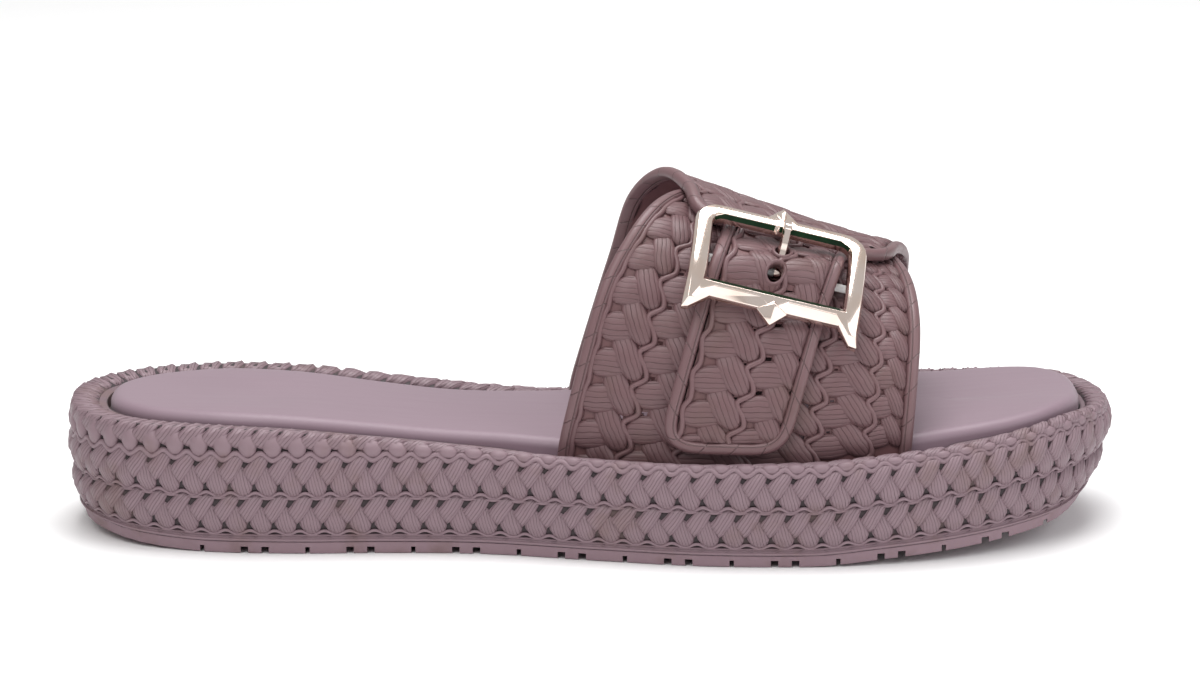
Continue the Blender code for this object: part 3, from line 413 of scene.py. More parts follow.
def sole_section(share, row):
    """Inset and level of the sole's surface. Rows are 0 at the band, 1 at the seam, 2 at the side's
    top, 3 on the rolled plait's crest and 4 at the roll's inner foot."""
    along = along_at(share)
    side_top = profile("floor", along) + profile("side", along)
    part = row - math.floor(row) if row < 4 else 1.0
    if row < 2:
        low, high = (BAND_TOP, SEAM_HEIGHT) if row < 1 else (SEAM_HEIGHT, SIDE_HEIGHT)
        height = (low + (high - low) * part) * side_share(along)
        pinch = SEAM_PINCH * (1 - min(1.0, abs(row - 1) / 0.07))
        inset = PLAIT_VALLEY + pinch - PLAIT_BULGE * math.sin(math.pi * part)
        return inset + tuck(along, height), profile("floor", along) + height
    if row < 3:
        turn = part * math.pi / 2
        inset = PLAIT_VALLEY + (roll_inset(along) - PLAIT_VALLEY) * (1 - math.cos(turn))
        return inset, side_top + (roll_level(share) - side_top) * math.sin(turn)
    turn = part * math.pi / 2
    end = RIM_WIDTH - LEDGE_WIDTH * 0.5 + 0.0014 * heel_share(along)
    inset = roll_inset(along) + (end - roll_inset(along)) * math.sin(turn)
    return inset, roll_level(share) - LEDGE_DROP * (1 - math.cos(turn))


def make_sole_form():
    shares = np.linspace(0, 1, 785)
    rows = np.linspace(0, 4, 81)
    places = np.zeros((len(shares), len(rows), 3))
    for j, row in enumerate(rows):
        inset, level = sole_section(shares, row)
        x, y = rim(shares, inset)
        places[:, j] = np.stack([x, y, level], axis=1)
    return Form(shares, rows, places, closed=True)


SOLE = make_sole_form()


def side_line(inset):
    """The outline drawn in by this much, as y over x on the outer and on the inner side."""
    points = CURVE[:-1] + INWARD[:-1] * inset
    heel, toe = int(np.argmin(points[:, 0])), int(np.argmax(points[:, 0]))
    loop = np.roll(points, -heel, axis=0)
    split = (toe - heel) % len(points)
    outer, inner = loop[: split + 1], loop[split:][::-1]
    return tuple(side[np.argsort(side[:, 0])] for side in (outer, inner))


OUTER_LINE, INNER_LINE = side_line(RIM_WIDTH + 3 * CLEARANCE + STRAP_THICKNESS + WEAVE_RELIEF)


def section(x):
    """Half a loop over the foot at this x: y, z and running length, from the outer side."""
    along = x / SOLE_LENGTH + 0.5
    outer = np.interp(x, OUTER_LINE[:, 0], OUTER_LINE[:, 1])
    inner = np.interp(x, INNER_LINE[:, 0], INNER_LINE[:, 1])
    turn = np.linspace(0, math.pi, 181)
    power = 2 / ARCH_ROUNDNESS
    across = np.sign(np.cos(turn)) * np.abs(np.cos(turn)) ** power
    half = np.where(across > 0, CREST_OFFSET - outer, inner - CREST_OFFSET)
    share = (along - INSTEP_ALONG) / (VAMP_ALONG - INSTEP_ALONG)
    height = INSTEP_HEIGHT + (VAMP_HEIGHT - INSTEP_HEIGHT) * share
    y = CREST_OFFSET - across * half
    z = crest_level(along) + height * np.sin(turn) ** power
    run = np.concatenate([[0.0], np.cumsum(np.hypot(np.diff(y), np.diff(z)))])
    return y, z, run


FOOT_XS = np.linspace(-0.022, 0.100, 123)
FOOT_RUNS = np.linspace(-0.010, 0.210, 441)
GIRTHS = np.zeros(len(FOOT_XS))


def make_foot_form():
    places = np.zeros((len(FOOT_XS), len(FOOT_RUNS), 3))
    for i, x in enumerate(FOOT_XS):
        y, z, length = section(x)
        GIRTHS[i] = length[-1]
        below = np.maximum(-FOOT_RUNS, 0.0) + np.maximum(FOOT_RUNS - length[-1], 0.0)
        at = np.clip(FOOT_RUNS, 0.0, length[-1])
        level = np.interp(at, length, z) - below
        places[i] = np.stack([np.full(len(at), x), np.interp(at, length, y), level], 1)
    return Form(FOOT_XS, FOOT_RUNS, places)


FOOT = make_foot_form()


def girth_at(x):
    return float(np.interp(x, FOOT_XS, GIRTHS))


def edge_x(edges, column, girth):
    return (smooth(edges, column, girth) - 0.5) * SOLE_LENGTH


def tab_centre_x(girth):
    share = girth / TAB_TOP_GIRTH
    return (TAB_END_CENTRE + (TAB_TOP_CENTRE - TAB_END_CENTRE) * share - 0.5) * SOLE_LENGTH


def tab_centre(girth):
    x = tab_centre_x(girth)
    return np.array([x, girth * girth_at(x)])


def tab_axes():
    """The tab's direction on the flat layout, and the buckle's, which is turned to the heel."""
    ahead = tab_centre(BUCKLE_GIRTH * 1.05) - tab_centre(BUCKLE_GIRTH * 0.95)
    ahead /= np.linalg.norm(ahead)
    angle = math.radians(BUCKLE_TURN_DEG)
    across = np.array([ahead[1], -ahead[0]])
    return ahead, ahead * math.cos(angle) - across * math.sin(angle)


TAB_UP, TURNED_UP = tab_axes()
TAB_HALF = TAB_WIDTH / 2 - BORDER_WIDTH
LOOP_RADIUS = CENTRE_BAR_RADIUS + CLEARANCE + PRONG_LOOP_WALL
TAB_RISE = 2 * LOOP_RADIUS + CLEARANCE
MIDDLE_X = (STRAP_MIDDLE_ALONG - 0.5) * SOLE_LENGTH
BASE_GIRTH = 0.0016 / girth_at(MIDDLE_X)
OVERLAP_GIRTH = LATERAL_EDGES[-1].girth


def over_lift(x, run):
    """How far the over strap lies off the foot: on the under strap, then nothing, and over the bar."""
    stack = STRAP_THICKNESS + WEAVE_RELIEF + CLEARANCE
    past = run - OVERLAP_GIRTH * np.interp(x, FOOT_XS, GIRTHS) - DRAPE_START
    centre = tab_centre(BUCKLE_GIRTH)
    away = np.abs((x - centre[0]) * TURNED_UP[0] + (run - centre[1]) * TURNED_UP[1])
    bar = TAB_RISE * (1 - smoothstep(away / TAB_RISE_REACH))
    return stack * (1 - smoothstep(past / DRAPE_LENGTH)) + bar


def no_lift(x, run):
    return np.zeros(np.shape(x))


class Strap:
    """A strap's flat layout: columns across it from the rear and rows up it, each laid on the foot."""

    def __init__(self, name, spot, first_column, last_column, first_row, last_row, lift):
        self.name, self.lift = name, lift
        self.first_column, self.last_column = first_column, last_column
        self.first_row, self.last_row = first_row, last_row
        columns = np.linspace(first_column, last_column, 65)
        rows = np.linspace(first_row, last_row, 1 + round(8 * (last_row - first_row)))
        self.flat = Grid(columns, rows, [[spot(c, r) for r in rows] for c in columns])

    def at(self, column, row, out=0.0):
        spot = self.flat.at(column, row)
        return self.on_foot(spot[..., 0], spot[..., 1], out)

    def on_foot(self, x, run, out=0.0):
        return FOOT.at(x, run, self.lift(x, run) + out)


# The under strap's columns grow wider towards the front, and the last is cut off by the edge.
UNDER_COLUMNS = [0.0, 0.161, 0.335, 0.530, 0.732, 0.902, 1.0]
UNDER_ROWS = round(OVERLAP_GIRTH * girth_at(MIDDLE_X) / WEAVE_ROW)


def under_spot(column, row):
    girth = BASE_GIRTH + (OVERLAP_GIRTH - BASE_GIRTH) * row / UNDER_ROWS
    rear = edge_x(LATERAL_EDGES, "rear", girth) + BORDER_WIDTH
    front = edge_x(LATERAL_EDGES, "front", girth) - BORDER_WIDTH
    x = rear + (front - rear) * float(np.interp(column, range(len(UNDER_COLUMNS)), UNDER_COLUMNS))
    return x, girth * girth_at(x)


TOP_GIRTH = 1 - BASE_GIRTH
ROOT_X = tab_centre_x(TAB_TOP_GIRTH)
WIDE_ROWS = round((TOP_GIRTH - TAB_TOP_GIRTH) * girth_at(ROOT_X) / WEAVE_ROW)
TAB_ROWS = round((TAB_TOP_GIRTH * girth_at(ROOT_X) - TAB_END) / WEAVE_ROW)
OVER_COLUMNS = 4
# The tab's woven width starts a little before its first column and cuts its second one short.
TAB_FIRST = -0.08
TAB_LAST = 1.835
COLUMN_STEP = (TAB_LAST - TAB_FIRST) / 2


def shoulder_line(column):
    root = TAB_TOP_GIRTH + TAB_ROOT
    if column <= 1:
        rear = edge_x(MEDIAL_EDGES, "rear", REAR_SHOULDER_GIRTH) + BORDER_WIDTH
        return (rear + (ROOT_X - TAB_HALF - rear) * column,
                REAR_SHOULDER_GIRTH + (root - REAR_SHOULDER_GIRTH) * column)
    if column >= OVER_COLUMNS - 1:
        share = column - (OVER_COLUMNS - 1)
        front = edge_x(MEDIAL_EDGES, "front", FRONT_SHOULDER_GIRTH) - BORDER_WIDTH
        return (ROOT_X + TAB_HALF + (front - ROOT_X - TAB_HALF) * share,
                root + (FRONT_SHOULDER_GIRTH - root) * share)
    return ROOT_X + TAB_HALF * (column - OVER_COLUMNS / 2), root


def over_spot(column, row):
    """The over strap's place for a column counted in woven columns, 0 at the tab's first one."""
    column = 1 + (column - TAB_FIRST) / COLUMN_STEP
    if row < TAB_ROWS:
        end = (TAB_END + BORDER_WIDTH) / girth_at(tab_centre_x(0.0))
        girth = end + (TAB_TOP_GIRTH + TAB_ROOT - end) * row / TAB_ROWS
        x = tab_centre_x(girth) + TAB_HALF * (column - OVER_COLUMNS / 2)
        return x, girth * girth_at(x)
    share = (row - TAB_ROWS) / WIDE_ROWS
    start_x, start_girth = shoulder_line(column)
    girth = start_girth + (TOP_GIRTH - start_girth) * share
    rear = edge_x(MEDIAL_EDGES, "rear", girth) + BORDER_WIDTH
    front = edge_x(MEDIAL_EDGES, "front", girth) - BORDER_WIDTH
    blend = float(smoothstep(share * 2.2))
    x = start_x * (1 - blend) + (rear + (front - rear) * column / OVER_COLUMNS) * blend
    return x, girth * girth_at(x)


UNDER = Strap("under_strap", under_spot, 0.0, len(UNDER_COLUMNS) - 1.0,
              -SUNK_ROWS, float(UNDER_ROWS), no_lift)
OVER = Strap("over_strap", over_spot, TAB_FIRST - COLUMN_STEP, TAB_LAST + COLUMN_STEP,
             0.0, TAB_ROWS + WIDE_ROWS + SUNK_ROWS, over_lift)

BuckleAxes = namedtuple("BuckleAxes", "origin right up out")


def buckle_frame_axes():
    centre = tab_centre(BUCKLE_GIRTH)
    reach = BUCKLE_HEIGHT / 2
    above, below = (FOOT.at(*(centre + TAB_UP * side * reach)) for side in (1, -1))
    up = (above - below) / np.linalg.norm(above - below)
    out = FOOT.at(*centre, 1.0) - FOOT.at(*centre)
    out -= up * float(out @ up)
    out /= np.linalg.norm(out)
    turn = math.radians(BUCKLE_TURN_DEG)
    up = up * math.cos(turn) + np.cross(out, up) * math.sin(turn)
    origin = FOOT.at(*centre) + out * (STRAP_THICKNESS + WEAVE_RELIEF)
    return BuckleAxes(origin, np.cross(up, out), up, out)


BUCKLE = buckle_frame_axes()
UNDERSIDE = 2 * LOOP_RADIUS + 4 * CLEARANCE


def on_buckle(points):
    """Places in the buckle's own right, up and out, on the bend that follows the foot."""
    right, up, out = points.T
    bent = out - up * up / (2 * BUCKLE_BEND_RADIUS)
    in_plane = np.outer(right, BUCKLE.right) + np.outer(up, BUCKLE.up)
    return BUCKLE.origin + in_plane + np.outer(bent, BUCKLE.out)


# Modelling steps


def start_piece(name, add, **sizes):
    """Adds a primitive with nothing else selected, and names it."""
    bpy.ops.object.select_all(action="DESELECT")
    add(**sizes)
    piece = bpy.context.object
    piece.name = piece.data.name = name
    return piece


def places_of(piece):
    flat = np.empty(3 * len(piece.data.vertices))
    piece.data.vertices.foreach_get("co", flat)
    return flat.reshape(-1, 3)


def set_places(piece, places):
    piece.data.vertices.foreach_set("co", np.ascontiguousarray(places, float).ravel())
    piece.data.update()


def pick(piece):
    """Makes this the only selected piece, and the active one."""
    bpy.ops.object.select_all(action="DESELECT")
    piece.select_set(True)
    bpy.context.view_layer.objects.active = piece


def edit(piece):
    pick(piece)
    bpy.ops.object.mode_set(mode="EDIT")
    bpy.ops.mesh.select_all(action="SELECT")


def finish_edit():
    bpy.ops.object.mode_set(mode="OBJECT")


def close_up(piece, distance=1e-6):
    """Merges doubles and points the faces outward."""
    edit(piece)
    bpy.ops.mesh.remove_doubles(threshold=distance)
    bpy.ops.mesh.select_all(action="SELECT")
    bpy.ops.mesh.normals_make_consistent(inside=False)
    finish_edit()


def smooth_shading(piece, degrees):
    pick(piece)
    bpy.ops.object.shade_smooth_by_angle(angle=math.radians(degrees))


def apply_modifier(piece, kind, **settings):
    modifier = piece.modifiers.new(kind.title(), kind)
    for name, value in settings.items():
        setattr(modifier, name, value)
    pick(piece)
    bpy.ops.object.modifier_apply(modifier=modifier.name)


def join_pieces(name, pieces):
    pick(pieces[0])
    for piece in pieces:
        piece.select_set(True)
    if len(pieces) > 1:
        bpy.ops.object.join()
    whole = bpy.context.view_layer.objects.active
    whole.name = whole.data.name = name
    return whole


def set_pattern(piece, pattern):
    """Writes the piece's UV map from a function of its flat places."""
    layer = piece.data.uv_layers.active or piece.data.uv_layers.new(name="UVMap")
    layer.name = "UVMap"
    flat = pattern(places_of(piece))
    corners = np.empty(len(piece.data.loops), dtype=np.int32)
    piece.data.loops.foreach_get("vertex_index", corners)
    layer.uv.foreach_set("vector", np.ascontiguousarray(flat[corners], float).ravel())


def make_sheet(name, columns, rows, place):
    """A grid bent to a shape. place takes the shares along and across, and gives the places."""
    piece = start_piece(name, bpy.ops.mesh.primitive_grid_add, x_subdivisions=columns,
                        y_subdivisions=rows, size=2)
    flat = places_of(piece)
    assert len(flat) == (columns + 1) * (rows + 1)
    shares = (flat[:, :2] + 1) / 2
    set_places(piece, place(shares[:, 0], shares[:, 1]))
    return piece


def make_cord(name, path, outward, radius, around=6, closed=False):
    """A round cord along a path. outward is the way away from the surface that it lies on."""
    path, outward = np.asarray(path), np.asarray(outward)
    if closed:
        ahead = np.roll(path, -1, axis=0) - np.roll(path, 1, axis=0)
        path, outward, ahead = (np.vstack([a, a[:1]]) for a in (path, outward, ahead))
    else:
        ahead = np.gradient(path, axis=0)
    ahead = unit(ahead)
    side = unit(np.cross(ahead, outward))
    up = np.cross(side, ahead)
    steps = len(path) - 1

    def place(u, v):
        i = nearest(u, steps)
        turn = v * 2 * math.pi
        across = side[i] * np.cos(turn)[:, None] + up[i] * np.sin(turn)[:, None]
        return path[i] + across * radius

    piece = make_sheet(name, steps, around, place)
    close_up(piece)
    if not closed:
        cap_holes(piece)
    return piece


def cap_holes(piece):
    """Closes the open ends with a face each."""
    edit(piece)
    bpy.ops.mesh.select_all(action="DESELECT")
    bpy.ops.mesh.select_mode(type="EDGE")
    bpy.ops.mesh.select_non_manifold(extend=False, use_wire=False, use_boundary=True,
                                     use_multi_face=False, use_non_contiguous=False, use_verts=False)
    bpy.ops.mesh.edge_face_add()
    bpy.ops.mesh.select_all(action="SELECT")
    bpy.ops.mesh.normals_make_consistent(inside=False)
    bpy.ops.mesh.select_mode(type="VERT")
    finish_edit()


# A leaf's outline is in shares of its cell, and the cell's size and all heights are in metres. It is
# drawn up from base by rise, then inset in steps of width and height, up to a crown. dip adds a height
# by place, axis is the way that its strands run, and grow makes the outline larger.
Leaf = namedtuple("Leaf", "name outline cell base rise steps crown dip axis grow")


def model_leaf(leaf):
    """One strand's visible piece: an outline drawn up and inset into a low dome, in cell shares."""
    size = np.array(leaf.cell)
    piece = start_piece(leaf.name, bpy.ops.mesh.primitive_circle_add, vertices=len(leaf.outline),
                        radius=1, fill_type="NGON")
    outline = np.array(leaf.outline)
    outline = (outline.mean(axis=0) + (outline - outline.mean(axis=0)) * leaf.grow) * size
    set_places(piece, np.column_stack([outline, np.full(len(outline), leaf.base)]))
    edit(piece)
    bpy.ops.mesh.extrude_region_move(TRANSFORM_OT_translate={"value": (0, 0, leaf.rise)})
    for inward, up in leaf.steps:
        bpy.ops.mesh.inset(thickness=inward, depth=up)
    bpy.ops.mesh.poke(offset=leaf.crown)
    bpy.ops.mesh.select_all(action="SELECT")
    bpy.ops.mesh.normals_make_consistent(inside=False)
    finish_edit()
    places = places_of(piece)
    shares = places[:, :2] / size
    middle = np.array(leaf.outline).mean(axis=0) * size
    axis = np.array(leaf.axis, float) * size
    axis /= np.linalg.norm(axis)
    offset = places[:, :2] - middle
    along, across = offset @ axis, offset @ np.array([-axis[1], axis[0]])
    set_pattern(piece, lambda _: np.stack([across, along], axis=1) / MILLIMETRE)
    raised = places[:, 2] > leaf.base + 1e-6
    height = places[:, 2] + np.where(raised, leaf.dip(shares[:, 0], shares[:, 1]), 0.0)
    set_places(piece, np.column_stack([shares, height]))
    smooth_shading(piece, 75)
    return piece


def copy_to(template, places):
    """A copy with its own mesh, at these places."""
    copy = template.copy()
    copy.data = template.data.copy()
    bpy.context.scene.collection.objects.link(copy)
    set_places(copy, places)
    return copy


def lay_copies(name, template, spots, place):
    """A copy of the template at each spot, joined into one piece."""
    shares = places_of(template)
    return join_pieces(name, [copy_to(template, place(shares, spot)) for spot in spots])


def discard(*pieces):
    for piece in pieces:
        bpy.data.objects.remove(piece)


# Materials


def new_material(name, colour, roughness, **more):
    """A material with these values on its shader. Words in more are parted by underscores."""
    made = bpy.data.materials.new(name)
    made.use_nodes = True
    shader = made.node_tree.nodes["Principled BSDF"]
    shader.inputs["Base Color"].default_value = (*colour, 1.0)
    shader.inputs["Roughness"].default_value = roughness
    for words, value in more.items():
        shader.inputs[words.replace("_", " ")].default_value = value
    return made, made.node_tree, shader


def node(tree, kind, links=(), **settings):
    """A node with its settings, and with its named inputs linked or set."""
    made = tree.nodes.new(kind)
    for name, value in settings.items():
        setattr(made, name, value)
    for socket, value in links:
        if isinstance(value, bpy.types.NodeSocket):
            tree.links.new(value, made.inputs[socket])
        else:
            made.inputs[socket].default_value = value
    return made


def maths(tree, operation, *values):
    return node(tree, "ShaderNodeMath", list(enumerate(values)), operation=operation).outputs[0]


def times(tree, value, by):
    return maths(tree, "MULTIPLY", value, by)


def vary_roughness(tree, shader, value, spread, least):
    tree.links.new(maths(tree, "ADD", times(tree, value, spread), least), shader.inputs["Roughness"])


def shade(colour, by):
    return tuple(c * by for c in colour)


def marks_across(tree):
    """The UV map's two directions, in millimetres."""
    flat = node(tree, "ShaderNodeUVMap", uv_map="UVMap").outputs["UV"]
    return node(tree, "ShaderNodeSeparateXYZ", [("Vector", flat)]).outputs


def ridges(tree, across, width):
    """0 between ridges of this width, and 1 on top of each."""
    return maths(tree, "ABSOLUTE", maths(tree, "SINE", times(tree, across, math.pi / width)))


def noise(tree, scale, detail=3.0, roughness=0.55, vector=None):
    where = vector or node(tree, "ShaderNodeTexCoord").outputs["Object"]
    made = node(tree, "ShaderNodeTexNoise", [("Vector", where), ("Scale", scale), ("Detail", detail),
                                             ("Roughness", roughness)])
    return made.outputs["Fac"]


def blend(tree, share, first, second):
    made = node(tree, "ShaderNodeMix", [("Factor", share)], data_type="RGBA")
    for socket, value in ((6, first), (7, second)):
        if isinstance(value, bpy.types.NodeSocket):
            tree.links.new(value, made.inputs[socket])
        else:
            made.inputs[socket].default_value = (*value, 1.0)
    return made.outputs[2]


def ramp(tree, value, low, high):
    """0 below low and 1 above high, with a smooth turn between."""
    made = node(tree, "ShaderNodeMapRange", [("Value", value), ("From Min", low), ("From Max", high)],
                interpolation_type="SMOOTHSTEP", clamp=True)
    return made.outputs["Result"]


def bump(tree, shader, layers):
    """Bump layers of height, distance and strength, one over the other."""
    below = None
    for height, distance, strength in layers:
        links = [("Height", height), ("Distance", distance), ("Strength", strength)]
        if below:
            links.append(("Normal", below))
        below = node(tree, "ShaderNodeBump", links).outputs["Normal"]
    tree.links.new(below, shader.inputs["Normal"])


def rubber(name, colour, worn, roughness, strand_width=None):
    """Moulded rubber: soft mottling, brown wear, fine grain, and strand lines along each leaf with
    painted shade in their grooves.
    """
    made, tree, shader = new_material(name, colour, roughness, Specular_IOR_Level=0.42,
                                      Coat_Weight=0.10, Coat_Roughness=0.35)
    patches = ramp(tree, noise(tree, 70, 4.0, 0.6), 0.50, 0.72)
    mottle = noise(tree, 420, 3.0)
    base = blend(tree, times(tree, patches, 0.75), colour, worn)
    base = blend(tree, times(tree, mottle, 0.35), base, shade(colour, 1.12))
    layers = [(noise(tree, 2600, 2.0), 0.00005, 0.45), (noise(tree, 500, 3.0), 0.0001, 0.30)]
    if strand_width:
        across = maths(tree, "ADD", marks_across(tree)["X"], times(tree, noise(tree, 130, 2.0), 1.3))
        strands = ridges(tree, across, strand_width)
        groove = ramp(tree, strands, 0.0, 0.24)
        # Painted shade: the grooves between strands are darkened, as shade falls in them.
        dark = tuple(c * s for c, s in zip(colour, (0.52, 0.34, 0.32)))
        base = blend(tree, times(tree, maths(tree, "SUBTRACT", 1.0, groove), 0.75), base, dark)
        layers.append((ridges(tree, across, 0.34), 0.00004, 0.5))
        layers.append((groove, 0.00013, 0.8))
        layers.append((strands, 0.00012, 0.35))
    tree.links.new(base, shader.inputs["Base Color"])
    vary_roughness(tree, shader, mottle, 0.16, roughness - 0.08)
    bump(tree, shader, layers)
    return made


SOLE_COLOUR = (0.222, 0.150, 0.172)
SOLE_WORN = (0.168, 0.104, 0.098)
STRAP_COLOUR = (0.144, 0.077, 0.083)
STRAP_WORN = (0.125, 0.068, 0.064)
SOCK_COLOUR = (0.234, 0.160, 0.196)
PLAIT_RUBBER = rubber("plaited rubber", SOLE_COLOUR, SOLE_WORN, 0.50, strand_width=0.80)
PLAIN_RUBBER = rubber("plain rubber", SOLE_COLOUR, SOLE_WORN, 0.55)
# Painted shade: the body seen between the leaves is the sole's rubber darkened to near black.
PAINTED_SHADE_RUBBER = rubber("painted shade between strands", shade(SOLE_COLOUR, 0.15), SOLE_WORN, 0.7)
LEDGE_RUBBER = rubber("ledge rubber", shade(SOLE_COLOUR, 0.70), SOLE_WORN, 0.7)
TREAD_RUBBER = rubber("tread rubber", shade(SOLE_COLOUR, 1.15), SOLE_WORN, 0.78)
WEAVE_RUBBER = rubber("woven rubber", STRAP_COLOUR, STRAP_WORN, 0.46, strand_width=1.25)
EDGE_RUBBER = rubber("strap edge rubber", shade(STRAP_COLOUR, 1.05), STRAP_WORN, 0.44)
# Painted shade: the inner sheet, seen only through the weave's gaps, is darker and redder than the strap,
# as the gaps look in shade.
INNER_COLOUR = tuple(c * s for c, s in zip(STRAP_COLOUR, (1.0, 0.86, 0.84)))
INNER_RUBBER = rubber("strap inner rubber", INNER_COLOUR, STRAP_WORN, 0.5)


def sock_lining():
    """Smooth imitation leather over foam: soft sheen, faint brushing along the foot, fine pores."""
    made, tree, shader = new_material("sock lining", SOCK_COLOUR, 0.5,
                                      Sheen_Weight=0.12, Sheen_Roughness=0.5)
    where = node(tree, "ShaderNodeTexCoord").outputs["Object"]
    brushed = node(tree, "ShaderNodeMapping", [("Vector", where), ("Scale", (0.10, 1.0, 1.0))])
    streaks = noise(tree, 420, 3.0, 0.6, brushed.outputs["Vector"])
    clouds = ramp(tree, noise(tree, 28, 3.0), 0.45, 0.8)
    base = blend(tree, times(tree, streaks, 0.35), SOCK_COLOUR, shade(SOCK_COLOUR, 1.10))
    base = blend(tree, times(tree, clouds, 0.35), base, shade(SOCK_COLOUR, 0.88))
    tree.links.new(base, shader.inputs["Base Color"])
    vary_roughness(tree, shader, streaks, 0.14, 0.42)
    bump(tree, shader, [(noise(tree, 1500, 2.0), 0.00004, 0.5), (streaks, 0.00006, 0.35)])
    return made


def polished_plate():
    """Pale gold plate: mirror polish with hardly any waviness."""
    colour = (0.90, 0.77, 0.70)
    made, tree, shader = new_material("pale gold plate", colour, 0.09, Metallic=1.0)
    haze = noise(tree, 90, 3.0)
    deeper = (0.84, 0.67, 0.57)
    tree.links.new(blend(tree, ramp(tree, haze, 0.35, 0.75), colour, deeper), shader.inputs["Base Color"])
    vary_roughness(tree, shader, haze, 0.10, 0.05)
    bump(tree, shader, [(noise(tree, 260, 2.0), 0.00003, 0.25)])
    return made


def painted_bevel_reflection():
    """A painted reflection: the dark green line that the frame's polished inner bevels mirror, set as a
    colour of its own.
    """
    made, tree, shader = new_material("painted dark green reflection", (0.004, 0.020, 0.006), 0.30,
                                      Specular_IOR_Level=0.12)
    cloud = noise(tree, 240, 3.0)
    tree.links.new(blend(tree, ramp(tree, cloud, 0.4, 0.7), (0.003, 0.016, 0.005), (0.006, 0.028, 0.009)),
                   shader.inputs["Base Color"])
    bump(tree, shader, [(cloud, 0.00002, 0.3)])
    return made


def bead_rubber():
    """The straps' border bead, with a nick across it at each row and a thin line along it, both darkened
    with painted shade.
    """
    made, tree, shader = new_material("border bead rubber", STRAP_COLOUR, 0.45,
                                      Coat_Weight=0.10, Coat_Roughness=0.35)
    flat = marks_across(tree)
    along = maths(tree, "ADD", flat["X"], times(tree, flat["Y"], 0.9))
    in_nick = maths(tree, "SUBTRACT", maths(tree, "FRACT", maths(tree, "DIVIDE", along, 7.4)), 0.5)
    nick = ramp(tree, maths(tree, "ABSOLUTE", in_nick), 0.0, 0.030)
    line = ramp(tree, maths(tree, "ABSOLUTE", maths(tree, "ADD", flat["Y"], 0.75)), 0.02, 0.20)
    marks = times(tree, nick, line)
    patches = ramp(tree, noise(tree, 70, 4.0, 0.6), 0.50, 0.78)
    base = blend(tree, times(tree, patches, 0.5), shade(STRAP_COLOUR, 1.06), STRAP_WORN)
    # Painted shade: the nicks and the line are darkened towards half the worn colour, as shade falls in
    # them.
    marked = times(tree, maths(tree, "SUBTRACT", 1.0, marks), 0.55)
    base = blend(tree, marked, base, shade(STRAP_WORN, 0.5))
    tree.links.new(base, shader.inputs["Base Color"])
    vary_roughness(tree, shader, noise(tree, 420, 3.0), 0.16, 0.36)
    bump(tree, shader, [(noise(tree, 2600, 2.0), 0.00005, 0.4), (marks, 0.00022, 0.9)])
    return made


BEAD_RUBBER = bead_rubber()
PALE_GOLD = polished_plate()
SOCK_LINING = sock_lining()
PAINTED_BEVEL_REFLECTION = painted_bevel_reflection()


def finish_piece(piece, material, slot):
    """Gives the piece its material, and puts it in place of the slot's solid."""
    if material:
        piece.data.materials.clear()
        piece.data.materials.append(material)
    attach(piece, "root")
    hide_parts(slot)


# Sole


def on_side(row, phase):
    """Lays a side leaf in the cell that the spot counts, on this row of the side."""

    def place(shares, spot):
        share = (spot + phase + shares[:, 0]) / PLAIT_CELLS
        return SOLE.at(share, row + shares[:, 1], shares[:, 2])

    return place


SIDE_CELL = (PLAIT_PITCH, 0.0101)
ROLL_CELL = (PLAIT_PITCH, 0.0040)


def slope(at, points):
    """A height that follows a short table of places and millimetres."""
    return np.interp(at, [p[0] for p in points], [p[1] * MILLIMETRE for p in points])


SIDE_UPPER = Leaf(
    "side_upper_leaf",
    [(0.00, 0.37), (0.17, 0.465), (0.34, 0.60), (0.49, 0.76), (0.59, 0.91), (0.56, 1.00), (0.42, 1.05),
     (0.25, 1.06), (0.10, 1.02), (-0.04, 0.93), (-0.20, 0.81), (-0.375, 0.69), (-0.27, 0.58),
     (-0.13, 0.46)],
    SIDE_CELL, -0.0008, 0.0010, [(0.00030, 0.00045), (0.00070, 0.00035)], 0.00012,
    lambda s, t: slope(t, [(0.3, 0.35), (0.75, 0.25), (1.0, -0.15), (1.1, -0.25)]),
    (0.60, 0.55), 1.10,
)
SIDE_LOWER = Leaf(
    "side_lower_leaf",
    [(0.60, 0.040), (0.76, 0.065), (0.88, 0.16), (0.93, 0.29), (0.91, 0.42), (0.83, 0.56), (0.70, 0.69),
     (0.53, 0.80), (0.34, 0.72), (0.20, 0.58), (0.10, 0.42), (0.12, 0.29), (0.24, 0.16), (0.42, 0.065)],
    SIDE_CELL, -0.0008, 0.0008, [(0.00030, 0.00045), (0.00070, 0.00035)], 0.00012,
    lambda s, t: slope(t, [(0.0, 0.0), (0.35, 0.15), (0.6, -0.10), (0.8, -0.6)]),
    (-0.25, 0.55), 1.09,
)
ROLL_BALL = Leaf(
    "roll_ball",
    [(-0.225, 2.00), (-0.04, 2.05), (0.09, 2.22), (0.14, 2.50), (0.10, 2.80), (-0.06, 3.02),
     (-0.28, 3.10), (-0.48, 2.94), (-0.63, 2.60), (-0.57, 2.32), (-0.46, 2.12), (-0.34, 2.02)],
    ROLL_CELL, -0.0008, 0.0010, [(0.00025, 0.00060), (0.00070, 0.00050)], 0.00020,
    lambda s, t: slope(t, [(2.0, 0.1), (2.5, 0.2), (3.0, -0.3)]),
    (0.10, 1.0), 1.08,
)
ROLL_TOP = Leaf(
    "roll_top_leaf",
    [(-1.08, 2.66), (-0.90, 2.50), (-0.62, 2.40), (-0.42, 2.46), (-0.20, 2.78), (-0.01, 3.15),
     (0.14, 3.50), (0.22, 3.85), (0.14, 3.98), (-0.28, 4.00), (-0.56, 3.80), (-0.76, 3.45),
     (-0.95, 3.05), (-1.08, 2.84)],
    ROLL_CELL, -0.0008, 0.0008, [(0.00025, 0.00050), (0.00060, 0.00035)], 0.00010,
    lambda s, t: slope(t, [(2.4, 0.25), (2.8, 0.50), (3.2, 0.10), (3.8, -0.30), (4.0, -0.8)]),
    (0.80, 1.25), 1.09,
)


